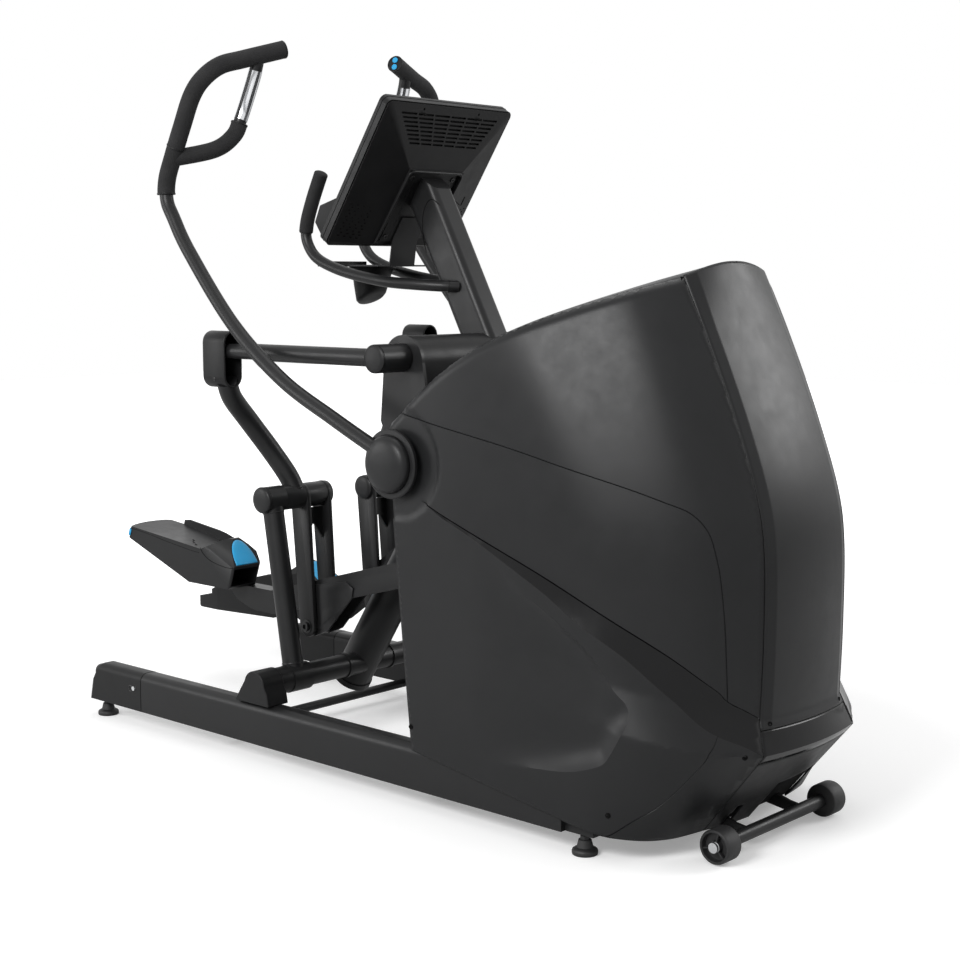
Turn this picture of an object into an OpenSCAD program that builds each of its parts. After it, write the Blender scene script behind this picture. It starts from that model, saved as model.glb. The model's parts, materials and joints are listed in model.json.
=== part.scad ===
// Elliptical trainer: welded base, closed drive housing, two linked foot
// arms with pedals, swinging hand arms, leaning mast and console.
// X runs to the front of the machine, Y to its left, Z up.

/* [Base] */
// Width of each floor rail
rail_w = 64; // [50:1:80]
// Height of each floor rail
rail_h = 104; // [80:1:120]
// Height of the rails above the floor
rail_lift = 46; // [36:1:60]
// Distance from the centre plane to each rail centre
rail_y = 354; // [345:1:380]
// Front end of the rails, ahead of the rear feet
rail_front = 1760; // [1730:1:1800]
// Length of the moulded rear end cap
cap_len = 229; // [200:1:240]
// Distance from the rear feet to the front feet
foot_span = 1700; // [1600:1:1720]
// Radius of a levelling foot pad
foot_r = 27; // [20:1:32]
// Radius of a levelling foot stem
stem_r = 6; // [5:0.5:8]

/* [Rear linkage] */
// Rear shaft, distance ahead of the rear feet
shaft_x = 668; // [660:1:676]
// Rear shaft, height
shaft_z = 196; // [190:1:205]
// Radius of the rear shaft between its journals
shaft_r = 30; // [28:1:34]
// Radius of the journals that the links turn on
journal_r = 25; // [20:1:27]
// Radius of an upright link tube
upright_r = 27; // [26:1:29]
// Distance from the centre plane to each upright link
upright_y = 253; // [250:1:256]
// Upper joint of the upright link, distance ahead of the rear feet
knee_x = 590; // [584:1:596]
// Upper joint of the upright link, height
knee_z = 648; // [640:1:660]
// Foot arm joint, distance ahead of the rear feet
hang_x = 615; // [600:1:625]
// Foot arm joint, height
hang_z = 306; // [300:1:312]
// Radius of the pivot bolt at the foot arm joint
hang_r = 10; // [8:1:12]
// Thickness of the flat hanger bars
hanger_t = 12; // [8:1:13]
// Radius of the bent riser tube
riser_r = 26; // [24:1:27]
// Radius of the upper guide bar
guide_r = 21; // [18:1:22]
// Height of the upper guide bar
guide_z = 1028; // [1024:1:1032]
// Front pivot of the guide bar, distance ahead of the rear feet
guide_x = 1110; // [1106:1:1114]
// Distance from the centre plane to each guide bar
guide_y = 355; // [354:1:356]

/* [Foot arms] */
// Width of a foot arm
arm_w = 45; // [40:1:46]
// Height of a foot arm
arm_h = 66; // [58:1:68]
// Distance from the centre plane to each foot arm
arm_y = 118; // [117:1:120]
// Front joint of the foot arm, distance ahead of the rear feet
crank_end_x = 1600; // [1580:1:1610]
// Front joint of the foot arm, height when the crank is down
crank_end_z = 660; // [650:1:670]
// Angle between the two foot arms when the cranks stand upright
arm_spread = 19.5; // [18:0.1:20.5]
// Length of a pedal
pedal_len = 475; // [440:1:480]
// Width of a pedal
pedal_w = 150; // [130:1:152]
// Wall of a pedal
pedal_wall = 5; // [4:0.5:7]

/* [Drive] */
// Radius of the crank shaft
crank_shaft_r = 12.5; // [10:0.5:15]
// Radius of the big belt pulley
pulley_r = 145; // [120:1:150]
// Width of the belt
belt_w = 20; // [14:1:22]
// Thickness of the belt
belt_t = 4; // [3:0.5:6]
// Radius of the flywheel
flywheel_r = 125; // [100:1:130]
// Radius of the flywheel's small pulley
small_pulley_r = 29; // [24:1:32]

/* [Hand arms] */
// Hand arm pivot, distance ahead of the rear feet
hand_x = 1180; // [1176:1:1184]
// Hand arm pivot, height
hand_z = 796; // [790:1:802]
// Radius of the hand arm's round boss
boss_r = 79; // [74:1:84]
// Radius of a hand arm tube
hand_r = 17; // [15:0.5:18]
// Distance from the centre plane to each hand arm
hand_y = 420; // [419:1:424]
// Radius of a moving hand grip
grip_r = 22; // [20:0.5:24]

/* [Console] */
// Width of the console
console_w = 440; // [400:1:450]
// Height of the console along its back
console_h = 404; // [390:1:430]
// Lean of the console from upright
console_lean = 34; // [32:1:36]
// Depth of the console's front frame
bezel_t = 28; // [20:1:34]
// Section of the mast, front to back
mast_d = 95; // [80:1:100]
// Section of the mast, side to side
mast_w = 75; // [60:1:80]
// Radius of the fixed handlebar tube
bar_r = 14; // [12:0.5:16]
// Distance from the centre plane to each fixed handlebar arm
bar_y = 100; // [95:1:110]

/* [Housing] */
// Half width of the drive housing at its rear edge
side_y = 391; // [390:0.5:392]
// Half width of the front cover
cover_y = 160; // [150:1:170]
// Wall of the housing
wall = 4; // [3:0.5:5]
// Gap between neighbouring housing panels
seam = 1; // [0.5:0.1:2]

/* [Transport wheels] */
// Radius of a transport wheel
wheel_r = 37.5; // [32:0.5:39]
// Width of a transport wheel
wheel_w = 50; // [40:1:55]
// Distance between the wheels' inner faces
wheel_gap = 372; // [360:1:400]

/* [Hidden] */
$fn = 48;
fit = 0.05;        // radial clearance of a shaft in its bore
air = 0.3;         // clearance between bodies that move past each other
eps = 0.01;

// main points as [x, z] in the machine's side plane, x from the rear feet
pA = [shaft_x, shaft_z];
pB = [knee_x, knee_z];
pC = [hang_x, hang_z];
pE = [guide_x, guide_z];
pF = [hand_x, hand_z];
pP = [crank_end_x, crank_end_z];
function turn(p, a) = [p.x * cos(a) - p.y * sin(a), p.x * sin(a) + p.y * cos(a)];
pQ = pC + turn(pP - pC, arm_spread);
pK = (pP + pQ) / 2;                  // crank shaft centre
crank_r = norm(pP - pQ) / 2;
pW = [pK.x + 265, pK.y - 285];       // flywheel centre
wheel_c = [1946, wheel_r + 2.5];

// fore and aft extent, which centres the model on the origin
sole_pitch = 19.5;
sole_p = [-428, 71.2];                    // where the pedal's sole leaves the arm
toe_x = 163;
heel_x = toe_x - pedal_len;
heel_edge = [heel_x - 2, 12];       // rearmost point of a pedal, in its own frame
x_front = 2050;
x_rear = min((pC + turn(sole_p + turn(heel_edge, -sole_pitch), arm_spread)).x,
             (pC + sole_p + turn(heel_edge, -sole_pitch)).x);
mid_x = (x_front + x_rear) / 2;

// ---------------------------------------------------------------- helpers

module place() { translate([-mid_x, 0, 0]) children(); }

// Pieces are drawn on the left side; the right side is the mirror image.
module on_side(left) {
    if (left) children();
    else mirror([0, 1, 0]) children();
}

module both() {
    children();
    mirror([0, 1, 0]) children();
}

// Cylinder along Y about the side-plane point p, from y0 to y1.
module ycyl(p, r, y0, y1) {
    translate([p.x, y1, p.y]) rotate([90, 0, 0]) cylinder(r = r, h = y1 - y0);
}

// Side-plane outline turned into a plate from y0 to y1.
module yplate(y0, y1) {
    translate([0, y1, 0]) rotate([90, 0, 0]) linear_extrude(y1 - y0) children();
}

// Round bar between two points in space.
module rod(a, b, r) {
    d = b - a;
    len = norm(d);
    pitch = acos(d.z / len);
    yaw = atan2(d.y, d.x);
    translate(a) rotate([0, pitch, yaw]) cylinder(r = r, h = len);
}

// Outline of a link: two round eyes joined by their outer tangents.
module link2d(a, b, ra, rb) {
    d = b - a;
    len = norm(d);
    base = atan2(d.y, d.x);
    lean = acos((ra - rb) / len);
    function eye(c, r, s) = c + r * [cos(base + s * lean), sin(base + s * lean)];
    translate(a) circle(ra);
    translate(b) circle(rb);
    polygon([eye(a, ra, 1), eye(b, rb, 1), eye(b, rb, -1), eye(a, ra, -1)]);
}

// Rectangle with rounded corners, centred.
module round_rect(w, h, r) {
    union() {
        square([w - 2 * r, h], center = true);
        square([w, h - 2 * r], center = true);
        for (i = [-1, 1], j = [-1, 1])
            translate([i * (w / 2 - r), j * (h / 2 - r)]) circle(r);
    }
}

function unit(v) = v / norm(v);
function last(v) = len(v) - 1;

// Smooth curve through points, n steps to each span.
function blend4(a, b, c, d, t) =
    0.5 * (2 * b + (c - a) * t + (2 * a - 5 * b + 4 * c - d) * t * t
           + (3 * b - a - 3 * c + d) * t * t * t);
function spline(p, n) = concat(
    [for (i = [0 : last(p) - 1], k = [0 : n - 1])
        blend4(p[max(i - 1, 0)], p[i], p[i + 1], p[min(i + 2, last(p))], k / n)],
    [p[last(p)]]);
// Point at share u of a curve's point list, u from 0 to 1.
function along(p, u) =
    let (s = min(u, 1 - 1e-9) * last(p), i = floor(s)) p[i] + (p[i + 1] - p[i]) * (s - i);

// Tube swept along a curve, or along rings from to till of it.
function headings(p) =
    [for (i = [0 : last(p)]) unit(p[min(i + 1, last(p))] - p[max(i - 1, 0)])];
function normals(t, i = 0, n = [0, 0, 1]) = i > last(t) ? [] :
    let (s = i > 0 ? n : (abs(t[0].z) < 0.9 ? [0, 0, 1] : [0, 1, 0]),
         m = unit(s - (s * t[i]) * t[i]))
    concat([m], normals(t, i + 1, m));
module sweep(path, r, sides = 14, from = 0, till = 999) {
    t = headings(path);
    n = normals(t);
    end = min(till, last(path));
    rings = end - from + 1;
    pts = [for (i = [from : end], k = [0 : sides - 1])
        let (a = 360 * k / sides)
        path[i] + r * (cos(a) * n[i] + sin(a) * cross(t[i], n[i]))];
    skin = [for (i = [0 : rings - 2], k = [0 : sides - 1])
        let (a = i * sides + k, b = i * sides + (k + 1) % sides)
        each [[a, a + sides, b + sides], [a, b + sides, b]]];
    polyhedron(pts, concat(skin, [[for (k = [0 : sides - 1]) k]],
        [[for (k = [sides - 1 : -1 : 0]) (rings - 1) * sides + k]]));
}

// Closed shell between an outer and an inner grid of points. Rows run
// along +X and up, and the outer grid faces +Y.
module shell(outer, inner) {
    nu = len(outer);
    nv = len(outer[0]);
    base = nu * nv;
    function id(i, j) = i * nv + j;
    pts = concat([for (i = [0 : nu - 1], j = [0 : nv - 1]) outer[i][j]],
                 [for (i = [0 : nu - 1], j = [0 : nv - 1]) inner[i][j]]);
    function quad(a, b, c, d) = [[a, b, c], [a, c, d]];
    faces = [
        for (i = [0 : nu - 2], j = [0 : nv - 2])
            each quad(id(i, j), id(i + 1, j), id(i + 1, j + 1), id(i, j + 1)),
        for (i = [0 : nu - 2], j = [0 : nv - 2])
            each quad(base + id(i, j), base + id(i, j + 1), base + id(i + 1, j + 1),
                      base + id(i + 1, j)),
        for (i = [0 : nu - 2])
            each quad(id(i, 0), base + id(i, 0), base + id(i + 1, 0), id(i + 1, 0)),
        for (i = [0 : nu - 2])
            each quad(id(i, nv - 1), id(i + 1, nv - 1), base + id(i + 1, nv - 1),
                      base + id(i, nv - 1)),
        for (j = [0 : nv - 2])
            each quad(id(0, j), id(0, j + 1), base + id(0, j + 1), base + id(0, j)),
        for (j = [0 : nv - 2])
            each quad(id(nu - 1, j), base + id(nu - 1, j), base + id(nu - 1, j + 1),
                      id(nu - 1, j + 1))];
    polyhedron(pts, faces);
}

// ------------------------------------------------------------------- base

// Rail section: flat foot, well rounded shoulders.
module rail_section(w, h) {
    r = 0.36 * w;
    union() {
        translate([-w / 2, 0]) square([w, h - r]);
        translate([-w / 2 + r, 0]) square([w - 2 * r, h]);
        for (i = [-1, 1]) translate([i * (w / 2 - r), h - r]) circle(r);
    }
}

module rail_run(x0, x1, w, h, drop = 0) {
    translate([x0, rail_y, rail_lift + drop]) rotate([90, 0, 90])
        linear_extrude(x1 - x0) rail_section(w, h);
}

cap_seam = cap_len - 35;
rail_in = rail_y - rail_w / 2;            // inner face of a rail
beam_z = rail_lift + 6;
beam_h = 60;
beam_x = foot_span - 30;

module base_frame() {
    color([0.10, 0.10, 0.11]) place() difference() {
        union() {
            both() {
                rail_run(cap_seam + seam, rail_front - 100, rail_w, rail_h);
                rail_run(-22, cap_seam + 2, rail_w - 16, rail_h - 18, 9);
                translate([rail_front - 101, rail_in, rail_lift]) cube([77, 50, rail_h - 6]);
            }
            // front cross beam and the bed that carries the drive
            translate([beam_x, -rail_y, beam_z]) cube([60, 2 * rail_y, beam_h]);
            translate([1180, -rail_y, beam_z]) cube([50, 2 * rail_y, beam_h - 10]);
            translate([1200, -45, beam_z]) cube([beam_x - 1180, 90, beam_h - 10]);
            // thin tie tube between the rails near the back
            ycyl([485, rail_lift - 1], 12, -rail_y + 8, rail_y - 8);
        }
        // tube walls
        both() rail_run(80, rail_front - 110, rail_w - 26, rail_h - 28, 14);
        translate([beam_x + 4, -rail_in + 6, beam_z + 4]) cube([52, 2 * rail_in - 12, beam_h - 8]);
        translate([1184, -rail_in + 6, beam_z + 4]) cube([42, 2 * rail_in - 12, beam_h - 18]);
        translate([1236, -41, beam_z + 4]) cube([beam_x - 1242, 82, beam_h - 18]);
        both() for (x = [0, foot_span]) translate([x, rail_y, rail_lift - 20])
            cylinder(r = stem_r + fit, h = 70);
    }
}

module cap_profile(grow) {
    polygon([[-35 - grow, rail_lift - grow], [-22 - grow, rail_lift + rail_h * 0.55],
             [8, rail_lift + rail_h + grow], [cap_seam, rail_lift + rail_h + grow],
             [cap_seam, rail_lift - grow]]);
}

module rail_end_caps() {
    color([0.16, 0.16, 0.17]) place() both() difference() {
        intersection() {
            rail_run(-40, cap_seam, rail_w + 1, rail_h + 0.5);
            yplate(rail_y - rail_w, rail_y + rail_w) cap_profile(0);
        }
        rail_run(-23, cap_seam + 1, rail_w - 15.6, rail_h - 17.6, 8.8);
        translate([0, rail_y, rail_lift - 5]) cylinder(r = stem_r + 2, h = 30);
    }
}

// Moulded housings on the rails that hold the ends of the rear shaft.
module pivot_covers() {
    top = rail_lift + rail_h;
    color([0.15, 0.15, 0.16]) place() both() difference() {
        union() {
            yplate(rail_y - rail_w / 2, rail_y + rail_w / 2 + 3) union() {
                translate(pA) circle(38);
                polygon([[shaft_x - 75, top + 0.2], [shaft_x - 52, top + 34],
                         [shaft_x - 22, shaft_z + 30], [shaft_x + 22, shaft_z + 30],
                         [shaft_x + 48, top + 30], [shaft_x + 54, top + 0.2]]);
            }
        }
        ycyl(pA, journal_r + 0.2, rail_y - rail_w, rail_y + rail_w / 2 - 4);
        rail_run(shaft_x - 100, shaft_x + 100, rail_w + 0.4, rail_h + 0.2);
    }
}

hub_in = upright_y - upright_r;           // inner face of an upright's hub
hub_out = upright_y + upright_r;

module rear_shaft() {
    color([0.22, 0.22, 0.23]) place() difference() {
        union() {
            ycyl(pA, shaft_r, -hub_in + 11, hub_in - 11);
            ycyl(pA, journal_r, -rail_y - rail_w / 2 + 5, rail_y + rail_w / 2 - 5);
        }
        ycyl(pA, journal_r - 6, -rail_y, rail_y);
    }
}

module shaft_collars() {
    color([0.12, 0.12, 0.12]) place() both() difference() {
        union() {
            ycyl(pA, 36, hub_in - 10.7, hub_in - air);
            ycyl(pA, 34, hub_out + air, rail_in - air);
            ycyl(pA, 33, 76, 84);
        }
        ycyl(pA, journal_r + 0.1, hub_in - 11, rail_in + 1);
        ycyl(pA, shaft_r + 0.1, 70, 110);
    }
}

// ------------------------------------------------------- column and frame

spine_r = 50;
spine_foot = [612, 141];
spine_dir = unit([215, 330]);
head_c = [guide_x, guide_z - 62];        // cross tube centre
head_r = 34;
head_y = 290;                            // inside of the side plates
cheek_t = 9;
cheek_y = head_y + cheek_t;              // outside of the side plates
spine_len = (head_c.y - spine_foot.y) / spine_dir.y - 12;

// Cylinder of radius r along the spine's whole line.
module spine_rod(r) {
    translate([spine_foot.x, 0, spine_foot.y]) rotate([0, atan2(spine_dir.x, spine_dir.y), 0])
        cylinder(r = r, h = spine_len + 30);
}

module spine() {
    color([0.12, 0.12, 0.13]) place() difference() {
        translate([spine_foot.x, 0, spine_foot.y])
            rotate([0, atan2(spine_dir.x, spine_dir.y), 0]) difference() {
                union() {
                    cylinder(r = spine_r, h = spine_len);
                    cylinder(r = spine_r + 3, h = 16);
                }
                translate([0, 0, 20]) cylinder(r = spine_r - 6, h = spine_len);
            }
        ycyl(pA, shaft_r + 0.1, -100, 100);
        ycyl(head_c, head_r + 0.2, -100, 100);
    }
}

// Steel beam behind the mast foot, with cheeks that carry the guide bars'
// pins and the hand arms' stub shafts.
guide_pin_r = 12;
stub_r = 14;
module cheek2d(grow) {
    union() {
        translate([pE.x, pE.y - 10]) circle(62 + grow);
        polygon([[pE.x - 62 - grow, pE.y - 10], [pE.x + 62 + grow, pE.y - 10],
                 [pF.x + 24, pF.y + 30], [pF.x + 14, pF.y - 20], [pF.x - 20, pF.y - 20],
                 [pE.x - 50, pE.y - 200], [pE.x - 74 - grow, pE.y - 150]]);
    }
}

module cross_head() {
    color([0.14, 0.14, 0.15]) place() union() {
        difference() {
            ycyl(head_c, head_r, -head_y - 1, head_y + 1);
            ycyl(head_c, head_r - 6, -head_y + 4, head_y - 4);
        }
        both() {
            yplate(head_y, cheek_y) cheek2d(0);
            ycyl(pE, guide_pin_r, cheek_y - 1, guide_y + 28);
            ycyl(pE, 26, cheek_y - 1, cheek_y + 3);
        }
    }
}

module head_cover() {
    z0 = head_c.y - 38;
    color([0.17, 0.17, 0.18]) place() difference() {
        yplate(-head_y + air, head_y - air) union() {
            translate([pE.x, pE.y - 10]) circle(60);
            polygon([[pE.x - 60, pE.y - 10], [pE.x + 60, pE.y - 10],
                     [pE.x + 60, z0], [pE.x - 64, z0]]);
        }
        yplate(-head_y + 5, head_y - 5) union() {
            translate([pE.x, pE.y - 10]) circle(56);
            polygon([[pE.x - 56, pE.y - 10], [pE.x + 56, pE.y - 10],
                     [pE.x + 56, z0 + 3.6], [pE.x - 60, z0 + 3.6]]);
        }
        ycyl(head_c, head_r + 0.2, -head_y - 5, head_y + 5);
        mast_bar(0.6, 0.6);
        spine_rod(spine_r + 0.5);
        both() yplate(plate_in - 0.4, plate_out + 0.4)
            polygon([[pE.x + 20, z0 - 5], [pE.x + 80, z0 - 5], [pE.x + 80, head_c.y + 40],
                     [pE.x + 20, head_c.y + 40]]);
    }
}

// Stub shafts that the hand arms turn on, flanged to the cheeks.
module hand_arm_stubs() {
    color([0.45, 0.45, 0.47]) place() both() union() {
        ycyl(pF, stub_r, cheek_y + 0.02, hand_y + 10);
        ycyl(pF, 17, cheek_y + 0.02, cheek_y + 10);
    }
}

plate_in = 32;
plate_out = 40;
bearing_r = 24;

// Pair of upright plates that carry the crank shaft and the flywheel.
module inner_frame() {
    top = beam_z + beam_h - 9.9;
    color([0.20, 0.20, 0.21]) place() both() difference() {
        yplate(plate_in, plate_out) union() {
            translate(pK) circle(52);
            polygon([[1420, top], [beam_x - 6, top], [pW.x + 35, pW.y - 60], [pW.x + 40, pW.y + 28],
                     [pW.x - 10, pW.y + 40], [pK.x + 52, pK.y], [pK.x - 40, pK.y + 34],
                     [pK.x - 52, pK.y], [pK.x - 75, pK.y - 160], [1415, 300]]);
            polygon([[pK.x - 30, pK.y + 42], [pK.x - 44, pK.y - 26], [head_c.x + 55, head_c.y - 70],
                     [head_c.x + 31, head_c.y - 22], [head_c.x + 31, head_c.y + 20]]);
        }
        ycyl(head_c, head_r + 0.1, 0, 80);
        spine_rod(spine_r + 0.1);
        ycyl(pK, bearing_r, 0, 80);
        ycyl(pW, 16, 0, 80);
        // lightening holes
        ycyl([1545, 330], 55, 0, 80);
        ycyl([1500, 520], 45, 0, 80);
    }
}

module crank_bearings() {
    color([0.6, 0.6, 0.62]) place() both() {
        difference() {
            ycyl(pK, bearing_r - 0.02, plate_in - 1, plate_out + 1);
            ycyl(pK, crank_shaft_r + fit, 0, 80);
        }
        difference() {
            ycyl(pW, 16 - 0.02, plate_in - 1, plate_out + 1);
            ycyl(pW, 8 + fit, 0, 80);
        }
    }
}

mast_foot = [1112, 1036];
mast_top = [904, 1425];
mast_dir = unit(mast_top - mast_foot);
mast_lean = atan2(-mast_dir.x, mast_dir.y);
mount_face = 38;                          // back of the console's mount plate

// Console frame: Z up along its back, X out of its back.
console_p = [764, 1290];
module at_console() {
    translate([console_p.x, 0, console_p.y]) rotate([0, console_lean, 0]) children();
}

function on_console(x, z) = console_p + turn([x, z], -console_lean);

module mast_bar(grow, wide) {
    len = norm(mast_top - mast_foot) + 60;
    translate([mast_foot.x, 0, mast_foot.y]) rotate([0, -mast_lean, 0])
        linear_extrude(len) round_rect(mast_d + 2 * grow, mast_w + 2 * wide, 18 + grow);
}

module mast_bore() {
    len = norm(mast_top - mast_foot) - 60;
    translate([mast_foot.x, 0, mast_foot.y]) rotate([0, -mast_lean, 0])
        translate([0, 0, 30]) linear_extrude(len) square([mast_d - 22, mast_w - 22], center = true);
}

module mast() {
    color([0.13, 0.13, 0.14]) place() difference() {
        mast_bar(0, 0);
        mast_bore();
        // foot coped round the cross tube, head cut to the console's mount
        ycyl(head_c, head_r + 0.1, -100, 100);
        translate([console_p.x, 0, console_p.y]) rotate([0, console_lean, 0]) {
            translate([mount_face - 200, -100, -100]) cube([200, 200, 600]);
            translate([mount_face - 60, -100, frame_top - 24]) cube([300, 200, 300]);
        }
    }
}

// --------------------------------------------------------------- console

shell_d = 44;                             // deepest point of the back shell
module console_slab(x0, x1, w, z0, z1, r) {
    translate([x0, 0, (z0 + z1) / 2]) rotate([90, 0, 90])
        linear_extrude(x1 - x0) round_rect(w, z1 - z0, r);
}

frame_half = 95;                          // half width of the raised frame
frame_top = 246;                          // where the raised frame ends
vent_rows = 8;

// Depth of the sloping upper back at a height above the frame.
function slope_x(z) = 3 + (shell_d - 7) * (console_h - z) / (console_h - frame_top);

module console_back() {
    color([0.16, 0.16, 0.17]) place() difference() {
        at_console() union() {
            hull() {
                console_slab(0.5, 3, console_w - 4, 2, console_h - 2, 14);
                translate([0, -frame_half + 2, frame_top - 4]) cube([shell_d - 4, 2 * frame_half - 4, 2]);
                translate([0, -frame_half + 2, 24]) cube([shell_d - 12, 2 * frame_half - 4, 2]);
            }
            // raised frame around the mount pocket
            yplate(-frame_half, frame_half)
                polygon([[8, 28], [shell_d - 10, 28], [shell_d, frame_top], [8, frame_top]]);
        }
        // hollow behind the frame
        at_console() for (s = [-1, 1]) translate([-1, s * 140 - 35, 30]) cube([12, 70, 250]);
        at_console() translate([mount_face - 8.1, 8 - frame_half, 36])
            cube([60, 2 * frame_half - 16, frame_top - 44]);
        // the mast passes the frame's lower edge
        intersection() {
            mast_bar(0.3, 0.3);
            at_console() translate([0, -100, -100]) cube([300, 200, frame_top + 70]);
        }
        at_console() {
            // rows of cooling slots across the upper back
            for (row = [0 : vent_rows - 1]) {
                z = console_h - 28 - row * 10;
                span = 344 - row * 14.6;
                for (k = [-1, 0, 1], h = [-1, 1])
                    translate([slope_x(z) - 7, k * span / 3 + h * span / 12 - (span / 6 - 5) / 2, z])
                        cube([40, span / 6 - 5, 5]);
            }
            for (s = [-1, 1]) translate([0.5, s * 97, console_h - 13]) rotate([0, 90, 0])
                cylinder(r = 3, h = 36);
        }
    }
}

module console_bezel() {
    color([0.12, 0.12, 0.13]) place() at_console() difference() {
        union() {
            console_slab(-bezel_t, 0, console_w, 0, console_h, 16);
            // control wedge below the screen
            translate([0, console_w / 2 - 8, 0]) rotate([90, 0, 0])
                linear_extrude(console_w - 16)
                    polygon([[-bezel_t + 1, 6], [-bezel_t - 40, 22], [-bezel_t - 47, 66],
                             [-bezel_t + 1, 122]]);
        }
        console_slab(-bezel_t - 60, -bezel_t + 6, console_w - 44, 128, console_h - 20, 6);
    }
}

module console_screen() {
    color([0.03, 0.04, 0.05]) place() at_console()
        console_slab(-bezel_t + 0.8, -bezel_t + 5.8, console_w - 45, 128.5, console_h - 20.5, 5.5);
}

module console_mount() {
    color([0.14, 0.14, 0.15]) place() at_console() difference() {
        union() {
            translate([mount_face - 8, 10 - frame_half, 38])
                cube([7.8, 2 * frame_half - 20, frame_top - 48]);
            translate([mount_face - 0.2, -60, 50]) cube([0.2, 120, 170]);
        }
        for (s = [-1, 1], z = [52, frame_top - 24]) translate([mount_face - 20, s * 72, z])
            rotate([0, 90, 0]) cylinder(r = 3, h = 40);
    }
}

// Fixed handlebar: two arms from the mast's sides, back and up to grips.
bar_side = mast_w / 2;
bar_path = [[1040, bar_side - 6, 1188], [1006, bar_side + 22, 1190], [940, 86, 1194],
            [860, bar_y, 1200], [760, bar_y, 1214], [670, bar_y, 1234], [600, bar_y, 1262],
            [566, bar_y, 1304], [566, bar_y, 1346], [588, bar_y, 1404], [621, bar_y, 1470]];
grip_share = 0.76;                        // where the grip starts along the arm

function bar_curve() = spline(bar_path, 2);
bar_last = last(bar_path) * 2;
bar_cut = round(grip_share * bar_last);

module handlebar() {
    c = bar_curve();
    color([0.16, 0.16, 0.17]) place() both() difference() {
        sweep(c, bar_r, 12);
        mast_bar(0.1, 0.1);
    }
}

module handlebar_grips() {
    c = bar_curve();
    color([0.08, 0.08, 0.08]) place() both() difference() {
        sweep(concat(c, [c[bar_last] + unit(c[bar_last] - c[bar_last - 1]) * 6]),
              bar_r + 4, 12, bar_cut);
        sweep(c, bar_r + 0.05, 12, bar_cut - 1);
    }
}

tray_z = 1238;
tray_x0 = 590;
tray_len = 222;
tray_half = bar_y - bar_r - air;
cup_c = [705, tray_z];
cup_r = 46;
module tray() {
    color([0.15, 0.15, 0.16]) place() difference() {
        union() {
            translate([tray_x0, -tray_half, tray_z]) cube([tray_len, 2 * tray_half, 4]);
            translate([tray_x0, -tray_half, tray_z]) cube([4, 2 * tray_half, 14]);
            // sheet bracket up to the console's mount plate
            yplate(-44, 44) polygon([[tray_x0 + tray_len - 4, tray_z], [tray_x0 + tray_len, tray_z],
                                     on_console(mount_face + 3.4, 42), on_console(mount_face + 3.4, 110),
                                     on_console(mount_face + 0.3, 110), on_console(mount_face + 0.3, 42)]);
        }
        translate([cup_c.x, 0, tray_z - 5]) scale([cup_r - 2, cup_r + 12, 1]) cylinder(r = 1, h = 20);
    }
}

// An oval cup whose floor slopes up towards the mast.
module cup_form(w) {
    hull() {
        translate([0, 0, -6]) scale([cup_r - w, cup_r + 14 - w, 1]) cylinder(r = 1, h = 8);
        translate([-6, 0, -84 + w]) rotate([0, -30, 0]) scale([cup_r - 9 - w, cup_r - 6 - w, 1])
            cylinder(r = 1, h = 1);
    }
}

module cup_holder() {
    color([0.12, 0.12, 0.13]) place() translate([cup_c.x, 0, tray_z - 0.2]) difference() {
        union() {
            intersection() {
                cup_form(0);
                translate([-200, -200, -200]) cube([400, 400, 200]);
            }
            translate([0, 0, -4]) scale([cup_r + 7, cup_r + 21, 1]) cylinder(r = 1, h = 4);
        }
        cup_form(3);
    }
}

// --------------------------------------------------------------- housing

// Edge curves of one side of the drive housing, bottom to top and back to
// front. The side is a patch blended between these four curves.
rear_edge = spline([[1222, side_y, 140], [1196, side_y, 380], [1170, side_y, 640],
                    [1157, side_y, 800], [1152, side_y, 892]], 4);
low_edge = spline([[1222, side_y, 140], [1420, side_y, 110], [1610, side_y, 82],
                   [1742, side_y - 6, 62], [1815, side_y - 46, 50], [1852, 270, 43],
                   [1868, cover_y + 4, 40]], 4);
high_edge = spline([[1152, side_y, 892], [1280, side_y - 5, 996], [1390, side_y - 20, 1064],
                    [1488, side_y - 46, 1110], [1590, side_y - 96, 1150],
                    [1700, side_y - 150, 1186], [1793, cover_y, 1217]], 4);
nose_edge = spline([[1868, cover_y + 4, 40], [1950, cover_y + 14, 136],
                    [2027, cover_y + 22, 236], [2002, cover_y + 1, 306],
                    [2007, cover_y, 460], [2005, cover_y, 641], [1985, cover_y, 763],
                    [1928, cover_y, 923], [1855, cover_y, 1090], [1793, cover_y, 1217]], 4);

// Depth that the side is pressed in or out: an upper panel that stands
// proud of the middle one, and a leaf-shaped scoop in the lower one.
function smooth(x) = let (c = max(0, min(1, x))) c * c * (3 - 2 * c);
function crease_z(x) = 890 - (x - 1180) * 0.28;
function swage_z(x) = 700 - (x - 1250) * 0.55;
function relief(p) =
    let (up = smooth((p.z - crease_z(p.x)) / 30),
         low = smooth((swage_z(p.x) - p.z) / 30),
         back = smooth((p.x - 1230) / 160) * smooth((1920 - p.x) / 180),
         leaf = norm([(p.x - 1600) / 210, (p.z - 270 + (p.x - 1600) * 0.5) / 90]))
    back * (-7 + 7 * up + 7 * low) - 12 * back * smooth((1 - leaf) * 2);

function patch(s, t) =
    let (a = along(low_edge, s), b = along(high_edge, s),
         c = along(rear_edge, t), d = along(nose_edge, t),
         p = (1 - t) * a + t * b + (1 - s) * c + s * d
             - (1 - s) * (1 - t) * low_edge[0] - s * (1 - t) * nose_edge[0]
             - (1 - s) * t * high_edge[0] - s * t * high_edge[last(high_edge)])
    p + [0, relief(p), 0];

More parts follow.
